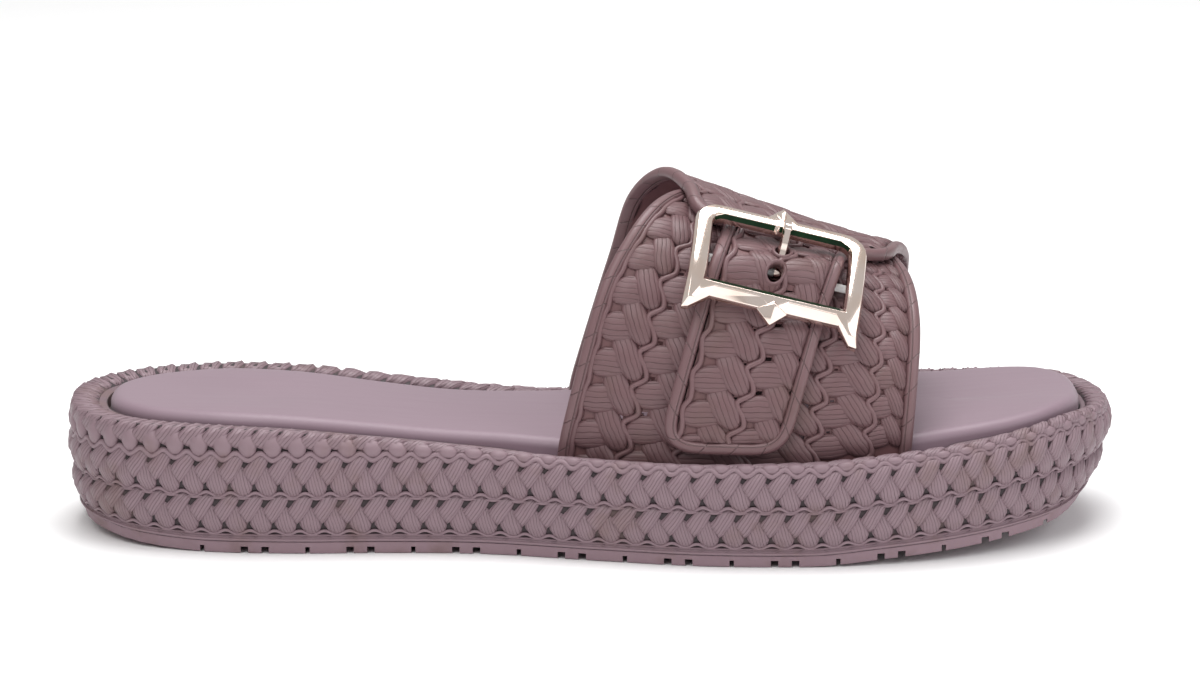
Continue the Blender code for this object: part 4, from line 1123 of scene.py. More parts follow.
def on_roll(shares, spot):
    """Lays a leaf of the rolled plait. Where the roll is tall, the caps reach further down it."""
    share = (spot + shares[:, 0]) / PLAIT_CELLS
    along = along_at(share)
    tall = (profile("crest", along) - profile("side", along)) / (HEEL_STACK - SIDE_HEIGHT)
    tall = np.clip(tall, 0.0, 1.0)
    up = np.clip((shares[:, 1] - 2) / 2, 0.0, 1.0)
    squat = 2 + 2 * up * (1 - 0.40 * tall * (1 - up ** 3))
    row = np.where(shares[:, 1] > 2, squat, shares[:, 1])
    return SOLE.at(share, row, shares[:, 2] - INNER_CAPS_SUNK * inner_forefoot(share))


def on_bead_row(shares, spot):
    """Lays a bead of the rolled plait. The beads sink in towards the toe."""
    sunk = TOE_BEADS_SUNK * toe_share(along_at((spot + shares[:, 0]) / PLAIT_CELLS))
    return on_roll(np.column_stack([shares[:, :2], shares[:, 2] - sunk]), spot)


def build_plaits():
    """The two rows of leaves on the side, and the rolled plait's beads and caps."""
    for name, leaves, place, material in (
        ("plait_lower", (SIDE_UPPER, SIDE_LOWER), on_side(0, -PLAIT_ROW_PHASE), PLAIT_RUBBER),
        ("plait_upper", (SIDE_UPPER, SIDE_LOWER), on_side(1, 0.0), PLAIT_RUBBER),
        ("roll_beads", (ROLL_BALL,), on_bead_row, PLAIN_RUBBER),
        ("roll_caps", (ROLL_TOP,), on_roll, PLAIT_RUBBER),
    ):
        parts = []
        for leaf in leaves:
            template = model_leaf(leaf)
            parts.append(lay_copies(leaf.name + "s", template, range(PLAIT_CELLS), place))
            discard(template)
        finish_piece(join_pieces(name, parts), material, "midsole")


def sole_cord(name, radius, steps, row_at, out, sunk=0.0):
    """A cord all round the sole. row_at gives its row for a place counted in cells. It is sunk this
    much deeper at the toe."""
    cells = np.arange(PLAIT_CELLS * steps) / steps
    share = cells / PLAIT_CELLS
    row = row_at(cells, share)
    out = out - sunk * toe_share(along_at(share))
    path = SOLE.at(share, row, out)
    outward = SOLE.at(share, row, out + 1.0) - path
    cord = make_cord(name, path, outward, radius, closed=True)
    smooth_shading(cord, 80)
    return cord


def wave(cells, peak):
    return np.cos(2 * math.pi * (cells - peak))


def build_sole_cords():
    """The bold wavy cord under the roll, and the thin scalloped ones at the seam and the band."""

    def bold(cells, share):
        rise = 0.0008 * wave(cells, 0.30)
        along = along_at(share)
        roll = profile("crest", along) - profile("side", along)
        upper = np.maximum(np.hypot(roll, roll_inset(along) - PLAIT_VALLEY), 0.002) * 1.1
        return 2 + np.where(rise > 0, rise / upper, rise / 0.0101)

    cords = [
        sole_cord("cord_bold", 0.00072, 12, bold, 0.00045, TOE_CORD_SUNK),
        sole_cord("cord_over_seam", 0.00046, 10, lambda c, s: 1.080 + 0.055 * wave(c, 0.08), 0.00035),
        sole_cord("cord_under_seam", 0.00040, 10, lambda c, s: 0.965 + 0.020 * wave(c, 0.025), 0.00040),
        sole_cord("cord_over_band", 0.00044, 10, lambda c, s: 0.070 + 0.055 * wave(c, -0.17), 0.00035),
    ]
    finish_piece(join_pieces("sole_cords", cords), PLAIN_RUBBER, "midsole")


def shrink_to_spine(x, y, share):
    """Draws a ring of places in towards a line down the sole's middle."""
    spine_x = np.clip(x, -0.088, 0.088)
    return x * (1 - share) + spine_x * share, y * (1 - share)


def build_core():
    """The smooth body behind the plaits, painted near black as shade between the leaves, with the ledge
    and the recess for the sock.
    """
    profile_rows = [0.0, 0.25, 0.5, 0.75, 0.93, 1.0, 1.07, 1.25, 1.5, 1.75, 2.0, 2.2, 2.4, 2.6, 2.8,
                    3.0, 3.25, 3.5, 3.75, 4.0]
    first_row = 2
    ledge_level = first_row + len(profile_rows)
    levels = ledge_level + 2

    def place(u, v):
        k = nearest(v, levels)
        along = along_at(u)
        places = np.zeros((len(u), 3))
        for level in range(levels + 1):
            on = k == level
            at = along[on]
            if level < first_row:
                inset = BAND_INSET + tuck(at, OUTSOLE_THICKNESS) + 0.0004
                high = profile("floor", at) + OUTSOLE_THICKNESS * side_share(at) + CLEARANCE
            elif level < ledge_level:
                inset, high = sole_section(u[on], profile_rows[level - first_row])
            elif level == ledge_level:
                inset = insole_inset(at) - 0.0004
                high = roll_level(u[on]) - LEDGE_DROP
                high -= open_room(at) * (high - recess_level(at) - 0.0003)
            else:
                inset = insole_inset(at)
                high = recess_level(at) + 0.0001
            x, y = rim(u[on], inset)
            if level in (0, levels):
                x, y = shrink_to_spine(x, y, 1.0)
                over = PROFILES["crest"] - RECESS_DEPTH if level else OUTSOLE_THICKNESS + CLEARANCE
                high = np.interp(x / SOLE_LENGTH + 0.5, ALONGS, PROFILES["floor"] + over)
            places[on] = np.stack([x, y, high], axis=1)
        return places

    core = make_sheet("sole_body", PLAIT_CELLS * 4, levels, place)
    close_up(core, 2e-5)
    smooth_shading(core, 50)
    finish_piece(core, PAINTED_SHADE_RUBBER, "midsole")


def build_band():
    """The plain band over the tread: a thin ridge with slanted dashes, and a light bead below."""
    shape = [(0.0012, 3.15), (-0.10, 3.20), (-0.42, 3.40), (-0.50, 3.62), (-0.40, 3.86), (0.00, 4.00),
             (0.15, 4.10), (0.22, 4.40), (0.10, 4.60), (-0.22, 4.72), (-0.30, 4.88), (-0.15, 5.04),
             (0.60, 5.20), (1.6, 5.25), (1.6, 3.15)]

    def place(u, v):
        out, height = np.array(shape)[nearest(v, len(shape)) % len(shape)].T * MILLIMETRE
        along = along_at(u)
        x, y = rim(u, BAND_INSET + tuck(along, height * side_share(along)) + out)
        return np.stack([x, y, profile("floor", along) + height * side_share(along)], axis=1)

    band = make_sheet("band", PLAIT_CELLS * 4, len(shape), place)
    close_up(band)
    smooth_shading(band, 50)
    finish_piece(band, PLAIN_RUBBER, "midsole")
    dash = start_piece("dash", bpy.ops.mesh.primitive_cube_add, size=1)
    set_places(dash, places_of(dash) * [0.00034, 0.0011, 0.00045])

    def lay(places, spot):
        slant = places[:, 0] + places[:, 1] * 0.9
        share = spot / PLAIT_CELLS + slant / PERIMETER
        along = along_at(share)
        height = (DASH_HEIGHT + places[:, 1] * 0.5) * side_share(along)
        x, y = rim(share, BAND_INSET + tuck(along, height) + 0.0001 - places[:, 2])
        return np.stack([x, y, profile("floor", along) + height], axis=1)

    dashes = lay_copies("band_dashes", dash, range(PLAIT_CELLS), lay)
    discard(dash)
    close_up(dashes)
    finish_piece(dashes, PLAIN_RUBBER, "midsole")


def build_ledge():
    """The slightly rough strip between the rolled plait and the sock."""
    shape = [(0.0, -0.5), (0.0, 0.0), (0.25, 0.22), (0.5, 0.28), (0.8, 0.22), (1.0, 0.0), (1.0, -0.5)]

    def place(u, v):
        across, up = np.array(shape)[nearest(v, len(shape)) % len(shape)].T
        along = along_at(u)
        start = RIM_WIDTH - LEDGE_WIDTH * 0.6
        end = insole_inset(along) - 0.0006
        high = roll_level(u) - LEDGE_DROP
        high -= open_room(along) * (high - recess_level(along) - 0.0005) * across
        x, y = rim(u, start + (end - start) * across)
        return np.stack([x, y, high + up * MILLIMETRE], axis=1)

    ledge = make_sheet("ledge", PLAIT_CELLS * 4, len(shape), place)
    close_up(ledge)
    smooth_shading(ledge, 50)
    finish_piece(ledge, LEDGE_RUBBER, "midsole")


def build_sock():
    """The padded sock: a soft rounded edge, a faint crown, and a shallow hollow under the heel."""
    turn = 0.0030
    # Each ring is drawn in from the edge, stands this high, and is shrunk to the spine by a share.
    rings = [(0.0, 0.0, 1.0), (0.0, 0.0, 0.5), (0.0, 0.0, 0.0), (0.0, 0.0016, 0.0)]
    rings += [(turn * (1 - math.cos(a)), INSOLE_THICKNESS - turn * 0.85 * (1 - math.sin(a)), 0.0)
              for a in np.radians([0, 18, 36, 54, 72, 90])]
    rings += [(turn, INSOLE_THICKNESS + 0.0005 * math.sin(shrink * math.pi / 2), shrink)
              for shrink in [0.0, 0.04, 0.10, 0.18, 0.28, 0.40, 0.52, 0.64, 0.76, 0.88, 1.0]]

    def place(u, v):
        k = nearest(v, len(rings) - 1)
        along = along_at(u)
        edge_inset = insole_inset(along) - 0.0001 + 0.0006 * heel_share(along)
        places = np.zeros((len(u), 3))
        for level, (draw, up, shrink) in enumerate(rings):
            on = k == level
            x, y = shrink_to_spine(*rim(u[on], edge_inset[on] + draw), shrink)
            at = x / SOLE_LENGTH + 0.5
            z = recess_level(at) + CLEARANCE + up
            if up > 0.002:
                z -= HEEL_HOLLOW * np.exp(-((at - 0.16) / 0.11) ** 2) * smoothstep(shrink)
                middle = smoothstep((at - 0.33) / 0.14) * (1 - smoothstep((at - 0.93) / 0.06))
                z += MIDDLE_SOCK_HIGHER * middle + OUTER_SOCK_HIGHER * outer_forefoot(u[on])
            places[on] = np.stack([x, y, z], axis=1)
        return places

    sock = make_sheet("sock", 280, len(rings) - 1, place)
    close_up(sock, 4e-4)
    smooth_shading(sock, 60)
    finish_piece(sock, SOCK_LINING, "insole")


# Straps

WEAVE_CELL = (0.0149, WEAVE_ROW)
OVAL = Leaf(
    "oval_leaf",
    [(-0.02, 0.00), (0.005, -0.14), (0.075, -0.25), (0.19, -0.32), (0.35, -0.345), (0.53, -0.30),
     (0.68, -0.22), (0.76, 0.00), (0.70, 0.25), (0.53, 0.385), (0.362, 0.418), (0.20, 0.40),
     (0.080, 0.31), (0.005, 0.17)],
    WEAVE_CELL, LEAF_BASE, 0.0009, [(0.00030, 0.00042), (0.00080, 0.00030)], 0.00008,
    lambda a, b: slope(a, [(0.0, -0.25), (0.2, 0.0), (0.45, 0.0), (0.75, -0.75)]),
    (1.0, 0.05), 1.10,
)
DIAGONAL = Leaf(
    "diagonal_leaf",
    [(0.326, 0.60), (0.362, 0.418), (0.478, 0.164), (0.63, -0.145), (0.758, -0.30), (0.884, -0.371),
     (0.975, -0.345), (1.030, -0.236), (1.025, -0.073), (0.970, 0.145), (0.85, 0.4545), (0.70, 0.72),
     (0.58, 0.86), (0.40, 0.80)],
    WEAVE_CELL, LEAF_BASE, 0.0010, [(0.00030, 0.00042), (0.00080, 0.00030)], 0.00008,
    lambda a, b: slope(b, [(-0.4, -0.30), (-0.1, 0.0), (0.25, 0.15), (0.5, -0.20), (0.85, -0.9)]),
    (0.42, -1.0), 1.08,
)
# The wavy cord's place beside a column's line, by the place in the row.
CORD_WAVE = [(-0.36, 0.11), (-0.2545, 0.141), (-0.15, 0.12), (0.018, 0.07), (0.10, 0.03), (0.218, -0.04),
             (0.30, -0.075), (0.418, -0.107), (0.45, -0.10), (0.545, -0.013), (0.60, 0.07), (0.64, 0.11)]
GAPS = [
    [(0.17, 0.56), (0.28, 0.55), (0.31, 0.45), (0.19, 0.44)],
    [(0.70, 0.69), (0.88, 0.56), (0.83, 0.46)],
]


def inside(polygon, x, y):
    """Whether the places lie in the polygon."""
    found = np.zeros(np.shape(x), bool)
    for (x0, y0), (x1, y1) in zip(polygon, polygon[1:] + polygon[:1]):
        crosses = (y0 > y) != (y1 > y)
        at = x0 + (x1 - x0) * (y - y0) / ((y1 - y0) or 1e-9)
        found ^= crosses & (x < at)
    return found


def pin_spots():
    centre = tab_centre(BUCKLE_GIRTH)
    return [centre + TAB_UP * up for up in (PRONG_HOLE_UP, PRONG_HOLE_UP - PIN_HOLE_PITCH)]


def pin_cutters():
    """A cutter through the tab for each pin hole, bent as the tab is."""
    cutters = []
    for pin in pin_spots():
        cutter = start_piece("pin_cutter", bpy.ops.mesh.primitive_cylinder_add, vertices=28,
                             radius=PIN_HOLE_RADIUS, depth=0.012)
        places = places_of(cutter)
        set_places(cutter, OVER.on_foot(pin[0] + places[:, 0], pin[1] + places[:, 1], places[:, 2]))
        cutters.append(cutter)
    return cutters


def cut_away(piece, cutter):
    apply_modifier(piece, "BOOLEAN", object=cutter, operation="DIFFERENCE", solver="EXACT")


def cut_pin_holes(piece):
    cutters = pin_cutters()
    for cutter in cutters:
        cut_away(piece, cutter)
    discard(*cutters)


def column_range(strap, row):
    """The woven columns that the strap has at this row."""
    if strap is OVER and row < TAB_ROWS:
        return TAB_FIRST, TAB_LAST
    return strap.first_column, strap.last_column


def strap_cells(strap, start):
    """Every cell's column and row, with each column's rows a little higher than the one before."""
    found = []
    for column in range(math.floor(strap.first_column) - 1, math.ceil(strap.last_column) + 1):
        for row in range(-1, int(strap.last_row) + 2):
            found.append((column, row + start + COLUMN_PHASE * column))
    return found


def lay_on_strap(strap, name, leaf, cells):
    """Copies of a leaf on the strap's cells, with their places kept inside its woven part."""
    template = model_leaf(leaf)
    shares = places_of(template)
    cutters = pin_cutters() if strap is OVER else []
    copies = []
    for column, row in cells:
        middle_row = row + float(np.mean([p[1] for p in leaf.outline]))
        low, high = column_range(strap, middle_row)
        columns = column + shares[:, 0]
        rows = row + shares[:, 1]
        if columns.max() < low + 0.06 or columns.min() > high - 0.06:
            continue
        if rows.max() < strap.first_row + 0.12 or rows.min() > strap.last_row - 0.1:
            continue
        if strap is OVER and not low - 0.02 < column + 0.5 < high + 0.02 and rows.min() < TAB_ROWS:
            rows = np.maximum(rows, TAB_ROWS)
            if rows.max() < TAB_ROWS + 0.15:
                continue
        out = shares[:, 2].copy()
        if strap is OVER:
            low = np.where(rows < TAB_ROWS, TAB_FIRST, low)
            high = np.where(rows < TAB_ROWS, TAB_LAST, high)
        kept = np.clip(columns, low, high)
        kept_rows = np.clip(rows, strap.first_row, strap.last_row)
        out -= np.minimum(0.0008, 0.006 * (np.abs(columns - kept) + np.abs(rows - kept_rows)))
        spot = strap.flat.at(kept, kept_rows)
        copy = copy_to(template, strap.on_foot(spot[:, 0], spot[:, 1], out))
        for pin, cutter in zip(pin_spots(), cutters):
            if np.linalg.norm(spot - pin, axis=1).min() < 3 * PIN_HOLE_RADIUS:
                cut_away(copy, cutter)
        copies.append(copy)
    discard(template, *cutters)
    return join_pieces(name, copies)


def build_weave(strap, start, slot):
    cells = strap_cells(strap, start)
    parts = [lay_on_strap(strap, leaf.name + "s", leaf, cells) for leaf in (OVAL, DIAGONAL)]
    piece = join_pieces(strap.name + "_weave", parts)
    finish_piece(piece, WEAVE_RUBBER, slot)


def build_wavy_cords(strap, start, slot):
    """The thin wavy cords between the columns."""
    at, aside = np.array(sorted((b % 1.0, a) for b, a in CORD_WAVE)).T
    steps = np.arange(64) / 64
    waves = np.fft.rfft(np.interp(steps, at, aside, period=1.0))
    waves[5:] = 0
    rounded = np.fft.irfft(waves, len(steps))
    cords = []
    for line in range(math.ceil(strap.first_column - 0.1), math.ceil(strap.last_column)):
        in_tab = TAB_FIRST - 0.05 < line < TAB_LAST
        first = strap.first_row if strap is UNDER or in_tab else TAB_ROWS + 0.8
        rows = np.arange(first, strap.last_row - 0.02, 1 / WEAVE_STEPS)
        phase = np.mod(rows - start - COLUMN_PHASE * (line - 1), 1.0)
        edge_share = 0.35 if line == 0 and (strap is UNDER or in_tab) else 1.0
        columns = line + np.interp(phase, steps, rounded, period=1.0) * edge_share
        low, high = np.array([column_range(strap, row) for row in rows]).T
        spot = strap.flat.at(np.clip(columns, low + 0.02, high - 0.02), rows)
        path = strap.on_foot(spot[:, 0], spot[:, 1], CORD_RISE)
        outward = strap.on_foot(spot[:, 0], spot[:, 1], 1.0) - path
        cord = make_cord(f"wavy_cord_{line}", path, outward, CORD_RADIUS)
        if strap is OVER and in_tab:
            cut_pin_holes(cord)
        cords.append(cord)
    whole = join_pieces(strap.name + "_cords", cords)
    smooth_shading(whole, 80)
    finish_piece(whole, EDGE_RUBBER, slot)


def build_sheet(strap, start, slot):
    """The strap's inner sheet, with the weave's gaps cut through, going down into the sole."""
    columns = round((strap.last_column - strap.first_column) * WEAVE_STEPS)
    rows = round((strap.last_row - strap.first_row) * WEAVE_STEPS)
    sheet = start_piece(strap.name + "_sheet", bpy.ops.mesh.primitive_grid_add,
                        x_subdivisions=columns, y_subdivisions=rows, size=2)
    flat = places_of(sheet)
    column = strap.first_column + (flat[:, 0] + 1) / 2 * (strap.last_column - strap.first_column)
    row = strap.first_row + (flat[:, 1] + 1) / 2 * (strap.last_row - strap.first_row)
    faces = sheet.data.polygons
    centres = np.array([[column[list(f.vertices)].mean(), row[list(f.vertices)].mean()] for f in faces])
    k = np.floor(centres[:, 0])
    a = centres[:, 0] - k
    b = np.mod(centres[:, 1] - start - COLUMN_PHASE * k + 0.3, 1.0) - 0.3
    cut = np.zeros(len(faces), bool)
    for gap in GAPS:
        cut |= inside(gap, a, b)
    low = strap.first_column + 0.45
    high = strap.last_column - (1.25 if strap is UNDER else 0.45)
    cut &= (centres[:, 0] > low) & (centres[:, 0] < high)
    covered = 1.8 if strap is UNDER else 0.9
    cut &= (centres[:, 1] > strap.first_row + 0.9) & (centres[:, 1] < strap.last_row - covered)
    if strap is OVER:
        tab_row = centres[:, 1] < TAB_ROWS
        cut &= ~(tab_row & ((centres[:, 0] < TAB_FIRST + 0.40) | (centres[:, 0] > TAB_LAST - 0.40)))
        cut |= tab_row & ((centres[:, 0] < TAB_FIRST) | (centres[:, 0] > TAB_LAST))
        spots = strap.flat.at(centres[:, 0], centres[:, 1])
        for pin in pin_spots():
            cut &= np.linalg.norm(spots - pin, axis=1) > PIN_ROOM
    set_places(sheet, strap.at(column, row, np.zeros(len(row))))
    edit(sheet)
    bpy.ops.mesh.select_mode(type="FACE")
    bpy.ops.mesh.select_all(action="DESELECT")
    finish_edit()
    faces.foreach_set("select", cut)
    bpy.ops.object.mode_set(mode="EDIT")
    bpy.ops.mesh.delete(type="FACE")
    bpy.ops.mesh.select_mode(type="VERT")
    finish_edit()
    assert len(sheet.data.polygons) == len(cut) - cut.sum()
    apply_modifier(sheet, "SOLIDIFY", thickness=SHEET_THICKNESS, offset=1.0)
    if strap is OVER:
        cut_pin_holes(sheet)
    smooth_shading(sheet, 50)
    finish_piece(sheet, INNER_RUBBER, slot)


def away_from_strap(strap, line):
    """The way out of the strap along its border line, which runs the other way round the over strap."""
    ahead = headings(line)
    outward = np.stack([-ahead[:, 1], ahead[:, 0]], axis=1)
    return outward if strap is UNDER else -outward


def border_path(strap):
    """Where the border bead's middle runs, from one end in the sole to the other, on the flat layout."""
    low, high, top, base = strap.first_column, strap.last_column, strap.last_row, strap.first_row
    line = []
    if strap is UNDER:
        corners = [(low, base), (low, top), (high, top), (high, base)]
    else:
        corners = [(low, top), (low, TAB_ROWS), (TAB_FIRST, TAB_ROWS), (TAB_FIRST, 0.0), (TAB_LAST, 0.0),
                   (TAB_LAST, TAB_ROWS), (high, TAB_ROWS), (high, top)]
    for (c0, r0), (c1, r1) in zip(corners, corners[1:]):
        t = np.linspace(0, 1, 80, endpoint=False)
        c, r = c0 + (c1 - c0) * t, r0 + (r1 - r0) * t
        line.append(strap.flat.at(c, r))
    line.append(strap.flat.at([corners[-1][0]], [corners[-1][1]]))
    line = resample(np.concatenate(line), 0.0008)
    line = line + away_from_strap(strap, line) * BORDER_WIDTH / 2
    for _ in range(2):
        line = soften(line, 4)
    return resample(line, PATH_STEP)


def resample(line, step):
    run = running_length(line)
    at = np.linspace(0, run[-1], round(run[-1] / step) + 1)
    return np.stack([np.interp(at, run, line[:, k]) for k in range(line.shape[1])], axis=1)


def soften(line, reach):
    """A running mean that keeps both ends."""
    width = 2 * reach + 1
    padded = np.vstack([2 * line[0] - line[reach:0:-1], line, 2 * line[-1] - line[-2:-reach - 2:-1]])
    kernel = np.ones(width) / width
    return np.stack([np.convolve(padded[:, k], kernel, mode="valid") for k in range(2)], axis=1)


# The border bead's section in millimetres, as places out from its middle line and up.
BEAD_SHAPE = [(-1.50, 0.05), (-1.62, 1.2), (-1.50, 2.00), (-1.15, 2.55), (-0.45, 2.88), (0.35, 2.90),
              (1.00, 2.62), (1.42, 2.05), (1.52, 1.3), (1.45, 0.45), (1.15, 0.0)]


def build_bead(strap, slot):
    """The moulded bead along the strap's edge."""
    line = border_path(strap)
    outward = away_from_strap(strap, line)
    steps = len(line) - 1
    shape = np.array(BEAD_SHAPE + BEAD_SHAPE[:1]) * MILLIMETRE

    def place(u, v):
        i, k = nearest(u, steps), nearest(v, len(shape) - 1)
        spot = line[i] + outward[i] * shape[k, 0][:, None]
        return strap.on_foot(spot[:, 0], spot[:, 1], shape[k, 1])

    bead = make_sheet(strap.name + "_bead", steps, len(shape) - 1, place)
    along = np.tile(np.arange(steps + 1), len(shape)) * PATH_STEP
    across = np.repeat(shape[:, 0], steps + 1)
    set_pattern(bead, lambda _: np.stack([along, across], axis=1) / MILLIMETRE)
    close_up(bead)
    cap_holes(bead)
    smooth_shading(bead, 60)
    finish_piece(bead, BEAD_RUBBER, slot)


def build_pin_collars():
    """The round collars of the tab's pin holes."""
    collars = []
    for number, pin in enumerate(pin_spots()):
        collar = start_piece(f"collar_{number}", bpy.ops.mesh.primitive_torus_add,
                             major_radius=PIN_HOLE_RADIUS + 0.0004, minor_radius=0.0005,
                             major_segments=28, minor_segments=8)
        places = places_of(collar)
        out = 0.00175 + places[:, 2] * 2.0
        set_places(collar, OVER.on_foot(pin[0] + places[:, 0], pin[1] + places[:, 1], out))
        collars.append(collar)
    whole = join_pieces("pin_hole_collars", collars)
    close_up(whole)
    smooth_shading(whole, 80)
    finish_piece(whole, WEAVE_RUBBER, "strap_medial")


# Buckle

HALF_W, HALF_H = BUCKLE_WIDTH / 2, BUCKLE_HEIGHT / 2


def arc(centre, radius, start, end, turns):
    angles = np.radians(np.linspace(start, end, turns + 1))
    return [(centre[0] + radius * math.cos(a), centre[1] + radius * math.sin(a)) for a in angles]


def frame_edges():
    """The outer edge and the window, counterclockwise, with a point on one for each on the other."""
    w, h, r, bar = HALF_W, HALF_H, BUCKLE_CORNER, BUCKLE_BAR
    iw, ih, ir = w - bar, h - bar, BUCKLE_CORNER * 0.45
    outer = [
        (-w - 0.0003, -h - 0.0040), (-w + 0.0013, -h - 0.0038), (-w + 0.0062, -h), (-0.0036, -h),
        (0.0, -h - 0.0034), (0.0036, -h), (w - 0.0052, -h), (w - 0.0017, -h - 0.0044),
        (w + 0.0002, -h - 0.0046), (w, -h + 0.0050), (w, 0.0),
        *arc((w - r, h - r), r, 0, 90, 5), (0.0036, h), (0.0, h + 0.0044), (-0.0036, h),
        *arc((-w + r, h - r), r, 90, 180, 5), (-w, 0.0), (-w, -h + 0.0050),
    ]
    window = [
        (-iw, -ih), (-iw + 0.0012, -ih), (-iw + 0.0034, -ih), (-0.0036, -ih), (0.0, -ih), (0.0036, -ih),
        (iw - 0.0030, -ih), (iw - 0.0012, -ih), (iw, -ih), (iw, -ih + 0.0020), (iw, 0.0),
        *arc((iw - ir, ih - ir), ir, 0, 90, 5), (0.0034, ih), (0.0, ih), (-0.0034, ih),
        *arc((-iw + ir, ih - ir), ir, 90, 180, 5), (-iw, 0.0), (-iw, -ih + 0.0020),
    ]
    return np.array(outer), np.array(window)


def build_buckle_frame():
    """The cast frame: flat polished tops and wide bevels, with the centre bar and its two lugs; the bars'
    inner bevels get a painted reflection.
    """
    outer, window = frame_edges()
    count = len(outer)
    across = unit(outer - window)
    low, high = UNDERSIDE, UNDERSIDE + BUCKLE_THICKNESS
    facet = np.where(outer[:, 1:] < -HALF_H + 0.0001, 0.0021, 0.0007)
    on_bars = np.abs(window[:, 1:]) > HALF_H - BUCKLE_BAR - 0.0001
    inner = np.where(on_bars, np.where(window[:, 1:] < 0, 0.0015, 0.0010), 0.0005)
    rows = [
        (window, low), (window, high - 0.0012), (window + across * inner, high - 0.0001),
        (window + across * (inner + 0.0001), high), (outer - across * facet, high),
        (outer - across * (facet - 0.0001), high - 0.0001), (outer, high - 0.0013), (outer, low),
    ]

    def place(u, v):
        i, k = nearest(u, count) % count, nearest(v, len(rows)) % len(rows)
        points = np.zeros((len(u), 3))
        for row, (line, level) in enumerate(rows):
            on = k == row
            points[on] = np.column_stack([line[i[on]], np.full(on.sum(), level)])
        return points

    piece = make_sheet("buckle", count, len(rows), place)
    # The inner bevels of the top and bottom bars take the second material, a painted dark green
    # reflection.
    for face in piece.data.polygons:
        right, up, out = face.center
        on_bar = abs(right) < HALF_W - BUCKLE_BAR - 0.0006
        on_bevel = high - 0.0011 < out < high - 0.0003 and abs(abs(up) - HALF_H + BUCKLE_BAR) < 0.0012
        face.material_index = 1 if on_bar and on_bevel else 0
    set_places(piece, on_buckle(places_of(piece)))
    piece.data.materials.append(PALE_GOLD)
    piece.data.materials.append(PAINTED_BEVEL_REFLECTION)
    close_up(piece)
    apply_modifier(piece, "BEVEL", width=0.00016, segments=2, limit_method="ANGLE",
                   angle_limit=math.radians(25))
    smooth_shading(piece, 35)
    bar = start_piece("bar", bpy.ops.mesh.primitive_cylinder_add, vertices=20, radius=CENTRE_BAR_RADIUS,
                      depth=2 * (HALF_W - BUCKLE_BAR * 0.4))
    turned = places_of(bar)[:, [2, 0, 1]] + [0, 0, LOOP_RADIUS]
    set_places(bar, on_buckle(turned))
    lugs = []
    for side in (-1, 1):
        lug = start_piece("lug", bpy.ops.mesh.primitive_cube_add, size=1)
        top = UNDERSIDE + BUCKLE_THICKNESS / 2
        bottom = LOOP_RADIUS - CENTRE_BAR_RADIUS * 1.15
        shape = places_of(lug) * [0.0022, 0.0032, top - bottom]
        shape += [side * (HALF_W - BUCKLE_BAR * 0.4), 0, (top + bottom) / 2]
        set_places(lug, on_buckle(shape))
        apply_modifier(lug, "BEVEL", width=0.0003, segments=2)
        lugs.append(lug)
    whole = join_pieces("buckle_casting", [piece, bar, *lugs])
    close_up(whole)
    smooth_shading(whole, 35)
    finish_piece(whole, None, "buckle_frame")


def build_studs():
    """The low pyramids on the frame's bars."""
    studs = []
    high = UNDERSIDE + BUCKLE_THICKNESS
    for name, centre, half_right, half_up, rise in (
        ("low_stud", (0.0, -HALF_H - 0.0002), 0.0040, 0.0036, 0.0014),
        ("top_stud", (0.0, HALF_H + 0.0008), 0.0036, 0.0042, 0.0016),
        ("small_stud", (-0.0014, HALF_H - BUCKLE_BAR + 0.0008), 0.0016, 0.0018, 0.0007),
    ):
        stud = start_piece(name, bpy.ops.mesh.primitive_cone_add, vertices=4, radius1=1, radius2=0,
                           depth=1)
        places = places_of(stud) * [half_right, half_up, rise + 0.0016]
        places[places[:, 2] > 0, 1] += half_up * 0.1
        places += [*centre, high + (rise - 0.0016) / 2]
        set_places(stud, on_buckle(places))
        apply_modifier(stud, "BEVEL", width=0.00018, segments=2, limit_method="ANGLE",
                       angle_limit=math.radians(20))
        studs.append(stud)
    whole = join_pieces("buckle_studs", studs)
    close_up(whole)
    smooth_shading(whole, 30)
    finish_piece(whole, PALE_GOLD, "buckle_frame")


def prong_path():
    """The prong's middle line, in the buckle's up and out."""
    rest_up = HALF_H - BUCKLE_BAR / 2
    rest_out = UNDERSIDE + BUCKLE_THICKNESS + CLEARANCE + PRONG_THICKNESS / 2
    middle = CENTRE_BAR_RADIUS + CLEARANCE + PRONG_LOOP_WALL / 2
    loop = [(middle * math.sin(a), LOOP_RADIUS - middle * math.cos(a))
            for a in np.radians(range(-200, 61, 20))]
    tongue = [
        (PRONG_HOLE_UP - 0.0010, 2 * LOOP_RADIUS - 0.0007),
        (PRONG_HOLE_UP + 0.0011, 2 * LOOP_RADIUS + 0.0012),
        (PRONG_HOLE_UP + 0.0030, rest_out - 0.0018), (rest_up - BUCKLE_BAR / 2, rest_out + 0.0005),
        (rest_up, rest_out), (rest_up + 0.0019, rest_out - 0.0001),
    ]
    return np.array(loop + tongue), len(loop)


